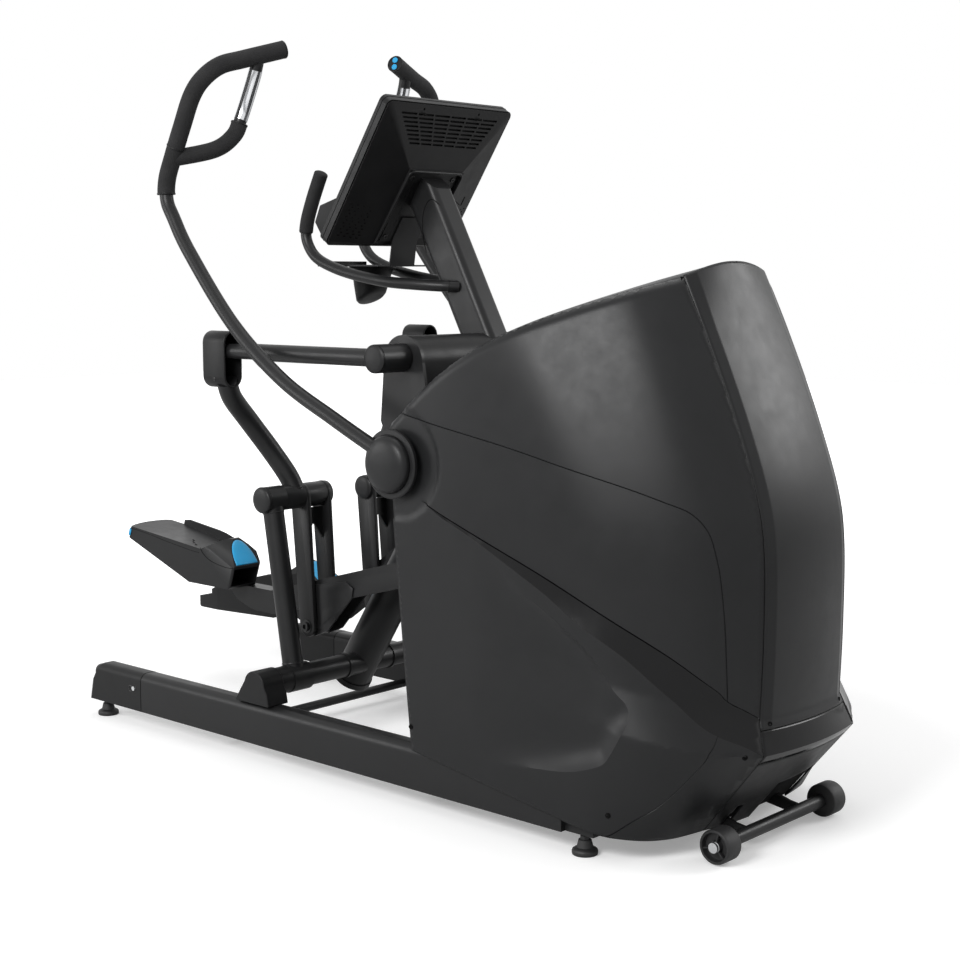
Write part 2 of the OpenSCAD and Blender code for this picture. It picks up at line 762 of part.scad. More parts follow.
side_cols = 18;
side_rows = 17;
roof_rows = [0.04, 0.12, 0.3, 0.6, 1];
function side_row(j) = j / side_rows;
function roof(s, q) =
    let (e = along(high_edge, s), fade = pow(1 - s, 3), in = min(1, q / 0.2))
    [e.x + 88 * fade * in, e.y * (1 - q) + seam / 2 * q,
     e.z + 70 * fade * in + (12 + 18 * s) * (1 - pow(1 - q, 2.4))];
function side_grid() =
    [for (i = [0 : side_cols]) let (s = i / side_cols)
        concat([for (j = [0 : side_rows]) patch(s, side_row(j))
                    - (j == side_rows ? [0, 6, 0] : [0, 0, 0])],
               [for (q = roof_rows) roof(s, q)])];

// Copy of a grid set in by the wall, square to the surface.
function inset(g, d) =
    let (nu = last(g), nv = last(g[0]))
    [for (i = [0 : nu]) [for (j = [0 : nv])
        let (du = g[min(i + 1, nu)][j] - g[max(i - 1, 0)][j],
             dv = g[i][min(j + 1, nv)] - g[i][max(j - 1, 0)])
        g[i][j] - d * unit(cross(dv, du))]];

module shroud_side() {
    g = side_grid();
    difference() {
        shell(g, inset(g, wall));
        // clearance round the hand arm's stub
        ycyl(pF, 30, side_y - 60, side_y + 30);
    }
}

module shroud_right() {
    color([0.17, 0.17, 0.18]) place() on_side(false) shroud_side();
}

module shroud_left() {
    color([0.17, 0.17, 0.18]) place() on_side(true) shroud_side();
}

// Front cover between the sides, and the skirt with its glossy lip below.
lip = 12;                                 // step of the nose curve at the lip
nose_bulge = 23;
function nose_row(t, k) =
    let (e = along(nose_edge, t), y = e.y - seam - wall)
    [e.x + nose_bulge * (1 - k * k) + 3 * smooth((e.z - 1100) / 117), -k * y, e.z + 30 * smooth((e.z - 1100) / 117) * (1 - k * k)];
function nose_grid(t0, t1, rows, cols) =
    [for (i = [0 : cols]) let (k = -1 + 2 * i / cols)
        [for (j = [0 : rows]) nose_row(t0 + (t1 - t0) * j / rows, k)]];
lip_share = 3 / 9;

module shroud_front() {
    g = nose_grid(lip_share + 0.002, 1, 14, 10);
    color([0.19, 0.19, 0.20]) place() shell(g, inset(g, wall));
}

module shroud_skirt() {
    g = nose_grid(0, lip_share - 0.002, 8, 10);
    color([0.08, 0.08, 0.08]) place() difference() {
        shell(g, inset(g, wall));
        both() translate([1840, wheel_arm_y - air, 0]) cube([60, wheel_arm_t + 2 * air, 90]);
    }
}

// ------------------------------------------------------- drive, inside

hub_gap = 0.5;
arm_in = arm_y - arm_w / 2;
arm_out = arm_y + arm_w / 2;

module crank() {
    color([0.55, 0.55, 0.57]) place() union() {
        ycyl(pK, crank_shaft_r, -70, 70);
        for (s = [-1, 1]) {
            pin = s < 0 ? pP : pQ;
            y0 = s < 0 ? -70 : 55;
            yplate(y0, y0 + 15) link2d(pK, pin, 32, 24);
            ycyl(pin, 10, s < 0 ? -arm_in + 3 : 60, s < 0 ? -60 : arm_in - 3);
        }
    }
}

module crank_pulley() {
    color([0.35, 0.35, 0.37]) place() difference() {
        ycyl(pK, pulley_r, -belt_w / 2 - 1, belt_w / 2 + 1);
        ycyl(pK, crank_shaft_r + 0.02, -20, 20);
        for (a = [0 : 60 : 300])
            ycyl(pK + turn([pulley_r * 0.58, 0], a), pulley_r * 0.2, -20, 20);
    }
}

module flywheel() {
    color([0.5, 0.5, 0.52]) place() union() {
        ycyl(pW, 8, -60, 82);
        ycyl(pW, small_pulley_r, -belt_w / 2 - 1, belt_w / 2 + 1);
        difference() {
            ycyl(pW, flywheel_r, 56, 80);
            for (a = [0 : 72 : 288]) ycyl(pW + turn([62, 0], a), 22, 50, 90);
        }
    }
}

module drive_belt() {
    color([0.05, 0.05, 0.05]) place() difference() {
        yplate(-belt_w / 2, belt_w / 2)
            link2d(pK, pW, pulley_r + air + belt_t, small_pulley_r + air + belt_t);
        yplate(-belt_w, belt_w) link2d(pK, pW, pulley_r + air, small_pulley_r + air);
    }
}

// ------------------------------------------------- transport wheels, feet

wheel_in = wheel_gap / 2;
wheel_arm_y = 100;
wheel_arm_t = 10;
module transport_bracket() {
    color([0.12, 0.12, 0.12]) place() union() {
        ycyl(wheel_c, 15, -wheel_in + air, wheel_in - air);
        ycyl(wheel_c, stem_r, -wheel_in - wheel_w - air, wheel_in + wheel_w + air);
        both() yplate(wheel_arm_y, wheel_arm_y + wheel_arm_t)
            polygon([[beam_x + 60.2, beam_z + 6], [beam_x + 60.2, beam_z + beam_h - 4],
                     [wheel_c.x - 30, wheel_c.y + 14], [wheel_c.x, wheel_c.y + 10],
                     [wheel_c.x, wheel_c.y - 10], [wheel_c.x - 40, wheel_c.y - 8]]);
    }
}

module transport_wheel() {
    tread = 6;
    difference() {
        translate([wheel_c.x, wheel_in, wheel_c.y]) rotate([-90, 0, 0]) rotate_extrude()
            polygon([[0, 0], [wheel_r - tread, 0], [wheel_r, tread], [wheel_r, wheel_w - tread],
                     [wheel_r - tread, wheel_w], [0, wheel_w]]);
        ycyl(wheel_c, stem_r + fit, 0, 400);
        ycyl(wheel_c, 20, wheel_in + wheel_w - 6, 400);
    }
}

module transport_wheel_right() {
    color([0.07, 0.07, 0.07]) place() on_side(false) transport_wheel();
}

module transport_wheel_left() {
    color([0.07, 0.07, 0.07]) place() on_side(true) transport_wheel();
}

// Bright bolt heads on the wheel axle and the rail caps.
module fastener_heads() {
    color([0.75, 0.75, 0.77]) place() both() {
        difference() {
            ycyl(wheel_c, 11, wheel_in + wheel_w - 6 + air, wheel_in + wheel_w + 4);
            ycyl(wheel_c, stem_r + 0.02, 0, wheel_in + wheel_w + air + 0.02);
        }
        ycyl([cap_seam - 30, rail_lift + 60], 6, rail_y + rail_w / 2 + 0.52, rail_y + rail_w / 2 + 3);
    }
}

module foot(x) {
    top = rail_lift + 48;
    translate([x, rail_y, 0]) rotate_extrude()
        polygon([[0, 0], [foot_r - 2, 0], [foot_r, 3], [foot_r - 1, 10], [foot_r - 9, 16],
                 [foot_r - 13, 32], [stem_r, 32], [stem_r, top], [0, top]]);
}

module foot_rear_right() { color([0.06, 0.06, 0.06]) place() on_side(false) foot(0); }
module foot_rear_left() { color([0.06, 0.06, 0.06]) place() on_side(true) foot(0); }
module foot_front_right() { color([0.06, 0.06, 0.06]) place() on_side(false) foot(foot_span); }
module foot_front_left() { color([0.06, 0.06, 0.06]) place() on_side(true) foot(foot_span); }

// --------------------------------------------------------- rear linkage

module upright() {
    difference() {
        union() {
            yplate(hub_in, hub_out) { translate(pA) circle(36); translate(pB) circle(33); }
            rod([pA.x, upright_y, pA.y], [pB.x, upright_y, pB.y], upright_r - 0.4);
        }
        for (p = [pA, pB]) ycyl(p, journal_r + fit, hub_in - 1, hub_out + 1);
        a = pA + unit(pB - pA) * 50;
        b = pB - unit(pB - pA) * 50;
        rod([a.x, upright_y, a.y], [b.x, upright_y, b.y], upright_r - 5);
    }
}

hanger_in = arm_in - 7.5 - hanger_t;      // inner hanger bar, inside face
hanger_out = arm_out + 8.5;               // outer hanger bar, inside face
riser_path = [[592, 172, 654], [574, 182, 700], [543, 214, 768], [528, 272, 846],
              [534, 330, 908], [544, guide_y, 952]];

// Knee hub, the two hanger bars below it and the bent riser above it.
module coupler() {
    union() {
        difference() {
            ycyl(pB, 32, hanger_in - 6, hub_in - air);
            ycyl(pB, 26, hanger_out + hanger_t, hub_in - 8);
        }
        ycyl(pB, journal_r, hub_in - 1, hub_out + air + 1);
        ycyl(pB, 32, hub_out + air, hub_out + 4);
        for (y = [hanger_in, hanger_out]) yplate(y, y + hanger_t) link2d(pB, pC, 33, 28);
        ycyl(pC, hang_r, hanger_in + 1, hanger_out + hanger_t + 6);
        ycyl(pC, 16, hanger_out + hanger_t - 1, hanger_out + hanger_t + 4);
        sweep(spline(riser_path, 2), riser_r);
    }
}

capsule_w = 58;
capsule_d = 87;
capsule_x = 526;
capsule_low = 92;
capsule_high = 50;
capsule_wall = 5;
module stadium(w, z0, z1) {
    union() {
        translate([-w / 2, z0 + w / 2]) square([w, z1 - z0 - w]);
        for (z = [z0 + w / 2, z1 - w / 2]) translate([0, z]) circle(w / 2);
    }
}

// Tall open pod at the riser's head that the guide bar's end sits in.
module capsule() {
    difference() {
        translate([capsule_x - capsule_d / 2, guide_y, guide_z]) rotate([90, 0, 90])
            linear_extrude(capsule_d) stadium(capsule_w, -capsule_low, capsule_high);
        translate([capsule_x - capsule_d / 2 + capsule_wall, guide_y, guide_z])
            rotate([90, 0, 90]) linear_extrude(capsule_d)
                stadium(capsule_w - 2 * capsule_wall, -capsule_low + capsule_wall + 16,
                        capsule_high - capsule_wall);
        sweep(spline(riser_path, 2), riser_r + 0.1, from = 8);
    }
}

module guide_bar() {
    inner = cheek_y + 3 + air;
    difference() {
        union() {
            rod([capsule_x - 8, guide_y, guide_z], [capsule_x + 140, guide_y, guide_z],
                guide_r - 2.5);
            rod([capsule_x + 130, guide_y, guide_z], [pE.x, guide_y, pE.y], guide_r);
            ycyl(pE, 33, inner, guide_y + 33);
        }
        ycyl(pE, guide_pin_r + fit, inner - 1, guide_y + 28 + air);
        rod([capsule_x + 60, guide_y, guide_z], [pE.x - 40, guide_y, pE.y], guide_r - 7);
    }
}

// -------------------------------------------------------------- foot arms

// The arm is drawn with its crank down; the raised one turns about the
// hanger joint by the spread.
arm_rear = [-345, 40];                    // centre line, from the joint
arm_bend = [-165, 40];
module foot_arm() {
    tip = pP - pC;
    up = unit(tip - arm_bend);
    nrm = [-up.y, up.x];
    h = arm_h / 2;
    difference() {
        translate([pC.x, 0, pC.y]) union() {
            yplate(arm_in, arm_out) union() {
                polygon([arm_rear + [0, 23], arm_rear + [0, 31], arm_bend + [0, 31],
                         tip + nrm * h, tip - nrm * h, arm_bend + [8, -h],
                         arm_rear + [100, -h + 3], arm_rear + [40, -h + 22]]);
                polygon([[-40, 30], [-25, -6], [25, -6], [70, 40]]);
            }
            // gusset plates down to the hanger joint
            for (y = [arm_in - 5, arm_out - 0.5]) yplate(y, y + 5.5)
                polygon([[-24, 8], [4, 108], [131, 132], [158, 118], [154, 94], [62, -6],
                         [14, -26], [-18, -20]]);
            ycyl([0, 0], 27, arm_in - 7.2, arm_out + 8.2);
            ycyl(tip, 34, arm_in, arm_out);
        }
        translate([pC.x, 0, pC.y]) {
            ycyl([0, 0], hang_r + fit, 0, 200);
            ycyl(tip, 13, 0, 200);
            yplate(arm_in + 3, arm_out - 3) {
                a = arm_bend + up * 200;
                b = tip - up * 60;
                polygon([a + nrm * (h - 3), b + nrm * (h - 3), b - nrm * (h - 3), a - nrm * (h - 3)]);
                polygon([arm_rear + [104, 8 - h], arm_rear + [60, 27], arm_bend + [-20, 27],
                         arm_bend + [-20, 4 - h]]);
            }
        }
    }
}

pedal_in = arm_y + 17 - pedal_w / 2;

// Pedal frame: X from heel to toe along the sole, Z square to it.
module at_pedal() {
    translate([pC.x + sole_p.x, pedal_in, pC.y + sole_p.y]) rotate([0, sole_pitch, 0]) children();
}

function bed_z(x) = 73 + 0.245 * (x + 135);   // top of the footbed
far_slope = 56 / (toe_x + 215);               // how the inner side draws in towards the toe
pad_foot = [toe_x - 2, 124];                  // lower and upper end of the toe pad
pad_top = [92, 171];

// Outline from the side, up to the top of the inner wall and the toe cap.
module pedal_side() {
    polygon([[heel_x, 14], [heel_x + 22, 0], [0, 0], [158, 56], [toe_x, 64], pad_foot, pad_top,
             [82, 168], [45, 144], [-215, 72], [-285, 38], [heel_x, 36]]);
}

// Outline from above: crowned heel, straight outer side, tapered inner side.
module pedal_plan(grow = 0) {
    offset(delta = grow) offset(r = 9) offset(delta = -9)
        polygon([[heel_x + 14, 0], [heel_x + 4, 16], [heel_x, 42], [heel_x, 76], [heel_x + 4, 102],
                 [heel_x + 12, 126], [heel_x + 24, pedal_w], [toe_x, pedal_w],
                 [toe_x, 56], [-215, 0]]);
}

// Outline from the front: an arched toe cap between the two side walls.
module pedal_front(w) {
    translate([200, 0, 0]) rotate([90, 0, -90]) linear_extrude(600) mirror([1, 0, 0])
        offset(delta = -w) polygon([[-5, -20], [pedal_w + 5, -20], [pedal_w + 5, 112], [146, 126],
            [139, 141], [131, 155], [118, 166], [110, 171.5], [92, 171.5], [80, 167], [66, 158],
            [52, 146], [38, 130], [20, 112], [-5, 100]]);
}

module pedal() {
    w = pedal_wall;
    at_pedal() difference() {
        intersection() {
            yplate(0, pedal_w) pedal_side();
            translate([0, 0, -10]) linear_extrude(300) pedal_plan();
            pedal_front(0);
        }
        // open footbed inside the inner wall
        intersection() {
            yplate(-10, pedal_w + 10) polygon([[heel_x - 5, bed_z(heel_x - 5)], [18, bed_z(18)],
                                               [86, 172], [86, 300], [heel_x - 5, 300]]);
            translate([0, 0, -10]) linear_extrude(400)
                polygon([[heel_x - 10, -10], [-290, -10], [-215, w], [toe_x, 56 + w],
                         [toe_x, pedal_w + 10], [heel_x - 10, pedal_w + 10]]);
        }
        // room for the toes under the cap
        intersection() {
            yplate(0, pedal_w) polygon([[14, bed_z(18)], [148, 114], [153, 119], [95, 164], [70, 164]]);
            translate([0, 0, -10]) linear_extrude(400) pedal_plan(-w);
            pedal_front(w);
        }
        // hollow below the footbed, open at the front
        intersection() {
            yplate(0, pedal_w) polygon([[-110, 8], [0, w + 0.5], [158 - w, 56 + w], [toe_x + 5, 64 + w],
                                        [toe_x + 5, 119], [148, 108], [14, 103], [-110, 72]]);
            translate([0, 0, -10]) linear_extrude(400)
                polygon([[-110, 105 * far_slope + w], [toe_x + 5, 57 + w], [toe_x + 5, pedal_w - w],
                         [-110, pedal_w - w]]);
        }
    }
}

// Bright inserts: the pad on the toe cap, and a clip around the heel.
module pedal_trim() {
    up = pad_top - pad_foot;
    at_pedal() {
        translate([pad_foot.x, 101, pad_foot.y]) rotate([0, -atan2(up.y, up.x), 0])
            translate([0, 0, -2.4]) linear_extrude(2.36) intersection() {
                translate([3, 0]) scale([norm(up) - 7, 37]) circle(r = 1);
                translate([2, -50]) square([200, 100]);
            }
        translate([0, 0, 12]) linear_extrude(20) intersection() {
            difference() {
                pedal_plan(2);
                pedal_plan(0.02);
            }
            translate([heel_x - 5, 30]) square([30, 104]);
        }
    }
}

module spread(left) {
    if (left) translate([pC.x, 0, pC.y]) rotate([0, -arm_spread, 0])
        translate([-pC.x, 0, -pC.y]) children();
    else mirror([0, 1, 0]) children();
}

// -------------------------------------------------------------- hand arms

arm_path = [[1150, hand_y, 826], [1010, hand_y, 886], [827, hand_y, 971], [650, hand_y, 1098],
            [488, hand_y, 1272], [427, hand_y, 1358], [402, hand_y, 1402], [404, hand_y, 1452],
            [430, hand_y, 1508], [469, hand_y, 1581], [506, hand_y - 2, 1650],
            [531, hand_y - 18, 1692], [546, hand_y - 60, 1726], [561, 300, 1745],
            [592, 205, 1773]];
loop_path = [[572, 259, 1756], [560, 262, 1712], [527, 266, 1638], [518, 275, 1602],
             [511, 292, 1563], [492, 338, 1527], [432, hand_y - 4, 1505]];
function arm_curve() = spline(arm_path, 2);
function loop_curve() = spline(loop_path, 2);
arm_last = last(arm_path) * 2;
grip_first = 13;

module hand_arm() {
    c = arm_curve();
    difference() {
        union() {
            ycyl(pF, boss_r, hand_y - 17, hand_y - 5);
            translate([pF.x, hand_y - 6, pF.y]) rotate([-90, 0, 0]) rotate_extrude()
                polygon([[0, 0], [boss_r - 14, 0], [boss_r - 14, 9], [boss_r - 17, 16],
                         [boss_r - 24, 21.5], [boss_r - 36, 25], [boss_r - 54, 27], [0, 27.6]]);
            sweep(c, hand_r);
            sweep(loop_curve(), hand_r - 1);
        }
        ycyl(pF, stub_r + fit, hand_y - 60, hand_y + 10 + air);
    }
}

tip_p = arm_path[last(arm_path)];
tip_d = unit(tip_p - arm_path[last(arm_path) - 1]);
module at_tip() {
    translate(tip_p) rotate([0, acos(tip_d.z), atan2(tip_d.y, tip_d.x)]) children();
}
button_r = 7.5;
button_off = 9.5;

module hand_grip() {
    c = arm_curve();
    difference() {
        sweep(concat(c, [tip_p + 10 * tip_d]), grip_r, from = grip_first);
        sweep(c, hand_r + 0.05, from = grip_first - 1);
        sweep(loop_curve(), hand_r - 0.9, till = 2);
        sweep(loop_curve(), hand_r - 0.9, from = last(loop_path) * 2 - 2);
        at_tip() for (s = [-1, 1]) translate([s * button_off, 0, 3])
            cylinder(r = button_r + air, h = 20);
    }
}

module pulse_sensors() {
    c = loop_curve();
    difference() {
        sweep(c, hand_r + 1.5, from = 2, till = 7);
        sweep(c, hand_r - 0.95, from = 1, till = 8);
    }
}

module button(s) {
    at_tip() translate([s * button_off, 0, 4.6]) cylinder(r = button_r, h = 8);
}

steel = [0.13, 0.13, 0.14];
blue = [0.10, 0.55, 0.85];
module upright_right() { color(steel) place() on_side(false) upright(); }
module coupler_right() { color(steel) place() on_side(false) coupler(); }
module capsule_right() { color([0.17, 0.17, 0.18]) place() on_side(false) capsule(); }
module guide_bar_right() { color(steel) place() on_side(false) guide_bar(); }
module foot_arm_right() { color(steel) place() spread(false) foot_arm(); }
module pedal_right() { color([0.10, 0.10, 0.11]) place() spread(false) pedal(); }
module pedal_trim_right() { color(blue) place() spread(false) pedal_trim(); }
module hand_arm_right() { color(steel) place() on_side(false) hand_arm(); }
module hand_grip_right() { color([0.08, 0.08, 0.08]) place() on_side(false) hand_grip(); }
module pulse_sensors_right() { color([0.8, 0.8, 0.82]) place() on_side(false) pulse_sensors(); }
module button_up_right() { color(blue) place() on_side(false) button(-1); }
module button_down_right() { color(blue) place() on_side(false) button(1); }
module upright_left() { color(steel) place() on_side(true) upright(); }
module coupler_left() { color(steel) place() on_side(true) coupler(); }
module capsule_left() { color([0.17, 0.17, 0.18]) place() on_side(true) capsule(); }
module guide_bar_left() { color(steel) place() on_side(true) guide_bar(); }
module foot_arm_left() { color(steel) place() spread(true) foot_arm(); }
module pedal_left() { color([0.10, 0.10, 0.11]) place() spread(true) pedal(); }
module pedal_trim_left() { color(blue) place() spread(true) pedal_trim(); }
module hand_arm_left() { color(steel) place() on_side(true) hand_arm(); }
module hand_grip_left() { color([0.08, 0.08, 0.08]) place() on_side(true) hand_grip(); }
module pulse_sensors_left() { color([0.8, 0.8, 0.82]) place() on_side(true) pulse_sensors(); }
module button_up_left() { color(blue) place() on_side(true) button(-1); }
module button_down_left() { color(blue) place() on_side(true) button(1); }

base_frame();
rail_end_caps();
pivot_covers();
rear_shaft();
shaft_collars();
spine();
inner_frame();
cross_head();
head_cover();
mast();
hand_arm_stubs();
shroud_right();
shroud_left();
shroud_front();
shroud_skirt();
console_back();
console_bezel();
console_screen();
console_mount();
handlebar();
handlebar_grips();
tray();
cup_holder();
crank_bearings();
drive_belt();
transport_bracket();
fastener_heads();
crank();
crank_pulley();
flywheel();
transport_wheel_right();
transport_wheel_left();
foot_rear_right();
foot_rear_left();
foot_front_right();
foot_front_left();
upright_right();
coupler_right();
capsule_right();
guide_bar_right();
foot_arm_right();
pedal_right();
pedal_trim_right();
hand_arm_right();
hand_grip_right();
pulse_sensors_right();
button_up_right();
button_down_right();
upright_left();
coupler_left();
capsule_left();
guide_bar_left();
foot_arm_left();
pedal_left();
pedal_trim_left();
hand_arm_left();
hand_grip_left();
pulse_sensors_left();
button_up_left();
button_down_left();
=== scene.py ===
"""Elliptical trainer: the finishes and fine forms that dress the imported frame."""
import json
import logging
import math
from collections.abc import Callable
from dataclasses import dataclass, field
from enum import Enum

import bmesh
import bpy
import numpy as np
from mathutils import Matrix, Vector
from mathutils.geometry import delaunay_2d_cdt

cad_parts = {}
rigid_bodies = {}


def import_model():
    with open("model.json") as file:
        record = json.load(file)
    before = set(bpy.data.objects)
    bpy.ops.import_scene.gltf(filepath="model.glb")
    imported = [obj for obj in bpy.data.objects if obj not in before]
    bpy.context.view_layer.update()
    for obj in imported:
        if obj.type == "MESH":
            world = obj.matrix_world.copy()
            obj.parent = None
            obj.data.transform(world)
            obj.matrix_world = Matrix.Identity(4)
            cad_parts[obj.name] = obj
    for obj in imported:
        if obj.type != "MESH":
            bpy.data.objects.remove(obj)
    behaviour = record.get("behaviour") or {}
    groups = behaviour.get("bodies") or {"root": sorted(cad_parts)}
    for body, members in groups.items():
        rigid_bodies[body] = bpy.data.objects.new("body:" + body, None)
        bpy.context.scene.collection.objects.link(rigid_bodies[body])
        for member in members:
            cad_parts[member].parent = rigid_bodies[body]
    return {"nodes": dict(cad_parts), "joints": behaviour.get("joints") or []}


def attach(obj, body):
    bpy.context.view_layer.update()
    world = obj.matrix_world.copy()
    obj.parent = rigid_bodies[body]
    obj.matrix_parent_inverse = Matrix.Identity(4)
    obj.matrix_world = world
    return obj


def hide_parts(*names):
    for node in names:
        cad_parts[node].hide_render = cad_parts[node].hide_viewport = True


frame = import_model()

LOG = logging.getLogger("trainer")
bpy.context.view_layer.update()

# The machine's own millimetres run forward from the rear feet; the rear shaft
# stands at 668 there, which gives the frame's origin.
SHAFT_X = 668.0
ROCKER = next(j for j in frame["joints"] if j["name"] == "right_rocker_swing")
ORIGIN_X = SHAFT_X - 1000.0 * ROCKER["pos_m"][0]

Point = tuple[float, float, float]
Flat = tuple[float, float]


class Side(Enum):
    """A side of the machine: its sign along Y."""

    RIGHT = -1
    LEFT = 1

    @property
    def word(self) -> str:
        """Name used for this side's bodies and pieces."""
        return self.name.lower()


class Grain(Enum):
    """Kinds of surface relief that a finish can carry."""

    ORANGE_PEEL = "orange_peel"
    SPARK = "spark"
    PEBBLE = "pebble"
    FOAM = "foam"
    BRUSHED = "brushed"
    TURNED = "turned"
    POLISHED = "polished"


# ------------------------------------------------------------------ finishes


class Sheet:
    """Shader nodes of one material, added and linked by short calls."""

    def __init__(self, name: str) -> None:
        """Starts a material with one shader and the object's own coordinates.

        Args:
            name: name of the material.
        """
        self.material = bpy.data.materials.new(name)
        self.material.use_nodes = True
        self.nodes = self.material.node_tree.nodes
        self.links = self.material.node_tree.links
        self.shader = self.nodes["Principled BSDF"]
        self.place = self.nodes.new("ShaderNodeTexCoord").outputs["Object"]

    def noise(self, scale: float, detail: float = 3.0, stretch: Point = (1, 1, 1),
              rough: float = 0.55) -> bpy.types.NodeSocket:
        """Adds a noise field.

        Args:
            scale: cells in a metre.
            detail: octaves of the noise.
            stretch: scale along each axis.
            rough: strength of the finer octaves.

        Returns:
            The noise value's socket.
        """
        node = self.nodes.new("ShaderNodeTexNoise")
        node.inputs["Scale"].default_value = scale
        node.inputs["Detail"].default_value = detail
        node.inputs["Roughness"].default_value = rough
        self.links.new(self._mapped(stretch), node.inputs["Vector"])
        return node.outputs["Fac"]

    def cells(self, scale: float, smooth: bool = False) -> bpy.types.NodeSocket:
        """Adds a cell pattern.

        Args:
            scale: cells in a metre.
            smooth: whether neighbouring cells melt together.

        Returns:
            The socket with the distance to each cell's middle.
        """
        node = self.nodes.new("ShaderNodeTexVoronoi")
        node.feature = "SMOOTH_F1" if smooth else "F1"
        node.inputs["Scale"].default_value = scale
        self.links.new(self.place, node.inputs["Vector"])
        return node.outputs["Distance"]

    def rings(self, scale: float, centre: Vector) -> bpy.types.NodeSocket:
        """Adds turning marks about a line along Y.

        Args:
            scale: rings in a metre.
            centre: a point on the line, in metres.

        Returns:
            The socket with the rings' height.
        """
        shift = self.nodes.new("ShaderNodeMapping")
        shift.inputs["Location"].default_value = -centre
        shift.inputs["Scale"].default_value = (1, 0, 1)
        wave = self.nodes.new("ShaderNodeTexWave")
        wave.wave_type = "RINGS"
        wave.rings_direction = "SPHERICAL"
        wave.inputs["Scale"].default_value = scale
        wave.inputs["Distortion"].default_value = 0.6
        self.links.new(self.place, shift.inputs["Vector"])
        self.links.new(shift.outputs["Vector"], wave.inputs["Vector"])
        return wave.outputs["Fac"]

    def _mapped(self, stretch: Point) -> bpy.types.NodeSocket:
        """Returns the object's coordinates, scaled along each axis."""
        if stretch == (1, 1, 1):
            return self.place
        node = self.nodes.new("ShaderNodeMapping")
        node.inputs["Scale"].default_value = stretch
        self.links.new(self.place, node.inputs["Vector"])
        return node.outputs["Vector"]

    def span(self, source: bpy.types.NodeSocket, low: float, high: float,
             start: float = 0.3, end: float = 0.7) -> bpy.types.NodeSocket:
        """Maps a field from start..end to low..high.

        Args:
            source: the field.
            low: result at start.
            high: result at end.
            start: field value that gives low.
            end: field value that gives high.

        Returns:
            The mapped socket.
        """
        node = self.nodes.new("ShaderNodeMapRange")
        for key, value in zip(("From Min", "From Max", "To Min", "To Max"),
                              (start, end, low, high)):
            node.inputs[key].default_value = value
        self.links.new(source, node.inputs["Value"])
        return node.outputs["Result"]

    def tint(self, source: bpy.types.NodeSocket, stops: list[tuple[float, Point]]) -> None:
        """Colours the shader's base from a field.

        Args:
            source: the field.
            stops: places on the ramp and their linear colours.
        """
        ramp = self.nodes.new("ShaderNodeValToRGB")
        marks = ramp.color_ramp.elements
        while len(marks) < len(stops):
            marks.new(0.5)
        for mark, (place, colour) in zip(marks, stops):
            mark.position = place
            mark.color = (*colour, 1.0)
        self.links.new(source, ramp.inputs["Fac"])
        self.links.new(ramp.outputs["Color"], self.shader.inputs["Base Color"])

    def relief(self, layers: list[tuple[bpy.types.NodeSocket, float]]) -> None:
        """Stacks bumps on the shader's normal.

        Args:
            layers: fields and the height of each, in millimetres.
        """
        below = None
        for source, height in layers:
            node = self.nodes.new("ShaderNodeBump")
            node.inputs["Distance"].default_value = height / 1000
            self.links.new(source, node.inputs["Height"])
            if below is not None:
                self.links.new(below, node.inputs["Normal"])
            below = node.outputs["Normal"]
        self.links.new(below, self.shader.inputs["Normal"])


def shade(colour: Point, factor: float) -> Point:
    """Returns a colour made darker or lighter by a factor."""
    return tuple(min(1.0, c * factor) for c in colour)


@dataclass(frozen=True)
class Finish:
    """One surface finish, from the record's slot to its relief."""

    name: str
    slot: str
    colour: Point
    rough: Flat
    grain: Grain
    size: float = 1.0          # width of one grain, mm
    depth: float = 0.05        # height of the grain, mm
    tone: float = 0.12         # spread of the colour's tone
    metal: float = 0.0
    specular: float = 0.5
    coat: float = 0.0
    turned_about: Point = (0.0, 0.0, 0.0)

    def material(self) -> bpy.types.Material:
        """Returns the finish's material, made on its first use."""
        made = bpy.data.materials.get(self.name)
        return made if made else self._make()

    def _make(self) -> bpy.types.Material:
        """Builds the nodes of the finish.

        Returns:
            The new material.
        """
        sheet = Sheet(self.name)
        sheet.shader.inputs["Metallic"].default_value = self.metal
        sheet.shader.inputs["Specular IOR Level"].default_value = self.specular
        sheet.shader.inputs["Coat Weight"].default_value = self.coat
        sheet.shader.inputs["Coat Roughness"].default_value = 0.06
        cloud = sheet.noise(9.0, 4.0)
        fine = sheet.noise(420.0, 2.0)
        sheet.tint(cloud, [(0.25, shade(self.colour, 1 - self.tone)),
                           (0.5, self.colour), (0.78, shade(self.colour, 1 + self.tone))])
        smudge = sheet.noise(23.0, 5.0, rough=0.65)
        sheet.links.new(sheet.span(smudge, *self.rough), sheet.shader.inputs["Roughness"])
        sheet.relief([(self._field(sheet), self.depth), (fine, self.depth * 0.5)])
        return sheet.material

    def _field(self, sheet: Sheet) -> bpy.types.NodeSocket:
        """Returns the main relief field of this finish's grain."""
        scale = 1000.0 / self.size
        match self.grain:
            case Grain.ORANGE_PEEL:
                return sheet.noise(scale * 0.5, 1.0)
            case Grain.SPARK:
                return sheet.noise(scale, 4.0, rough=0.8)
            case Grain.PEBBLE:
                return sheet.span(sheet.cells(scale, smooth=True), 1.0, 0.0, 0.1, 0.6)
            case Grain.FOAM:
                return sheet.span(sheet.cells(scale), 0.0, 1.0, 0.05, 0.5)
            case Grain.BRUSHED:
                return sheet.noise(scale, 3.0, stretch=(1, 0.04, 1))
            case Grain.TURNED:
                return sheet.rings(scale, Vector(self.turned_about))
            case Grain.POLISHED:
                return sheet.noise(60.0, 1.0)


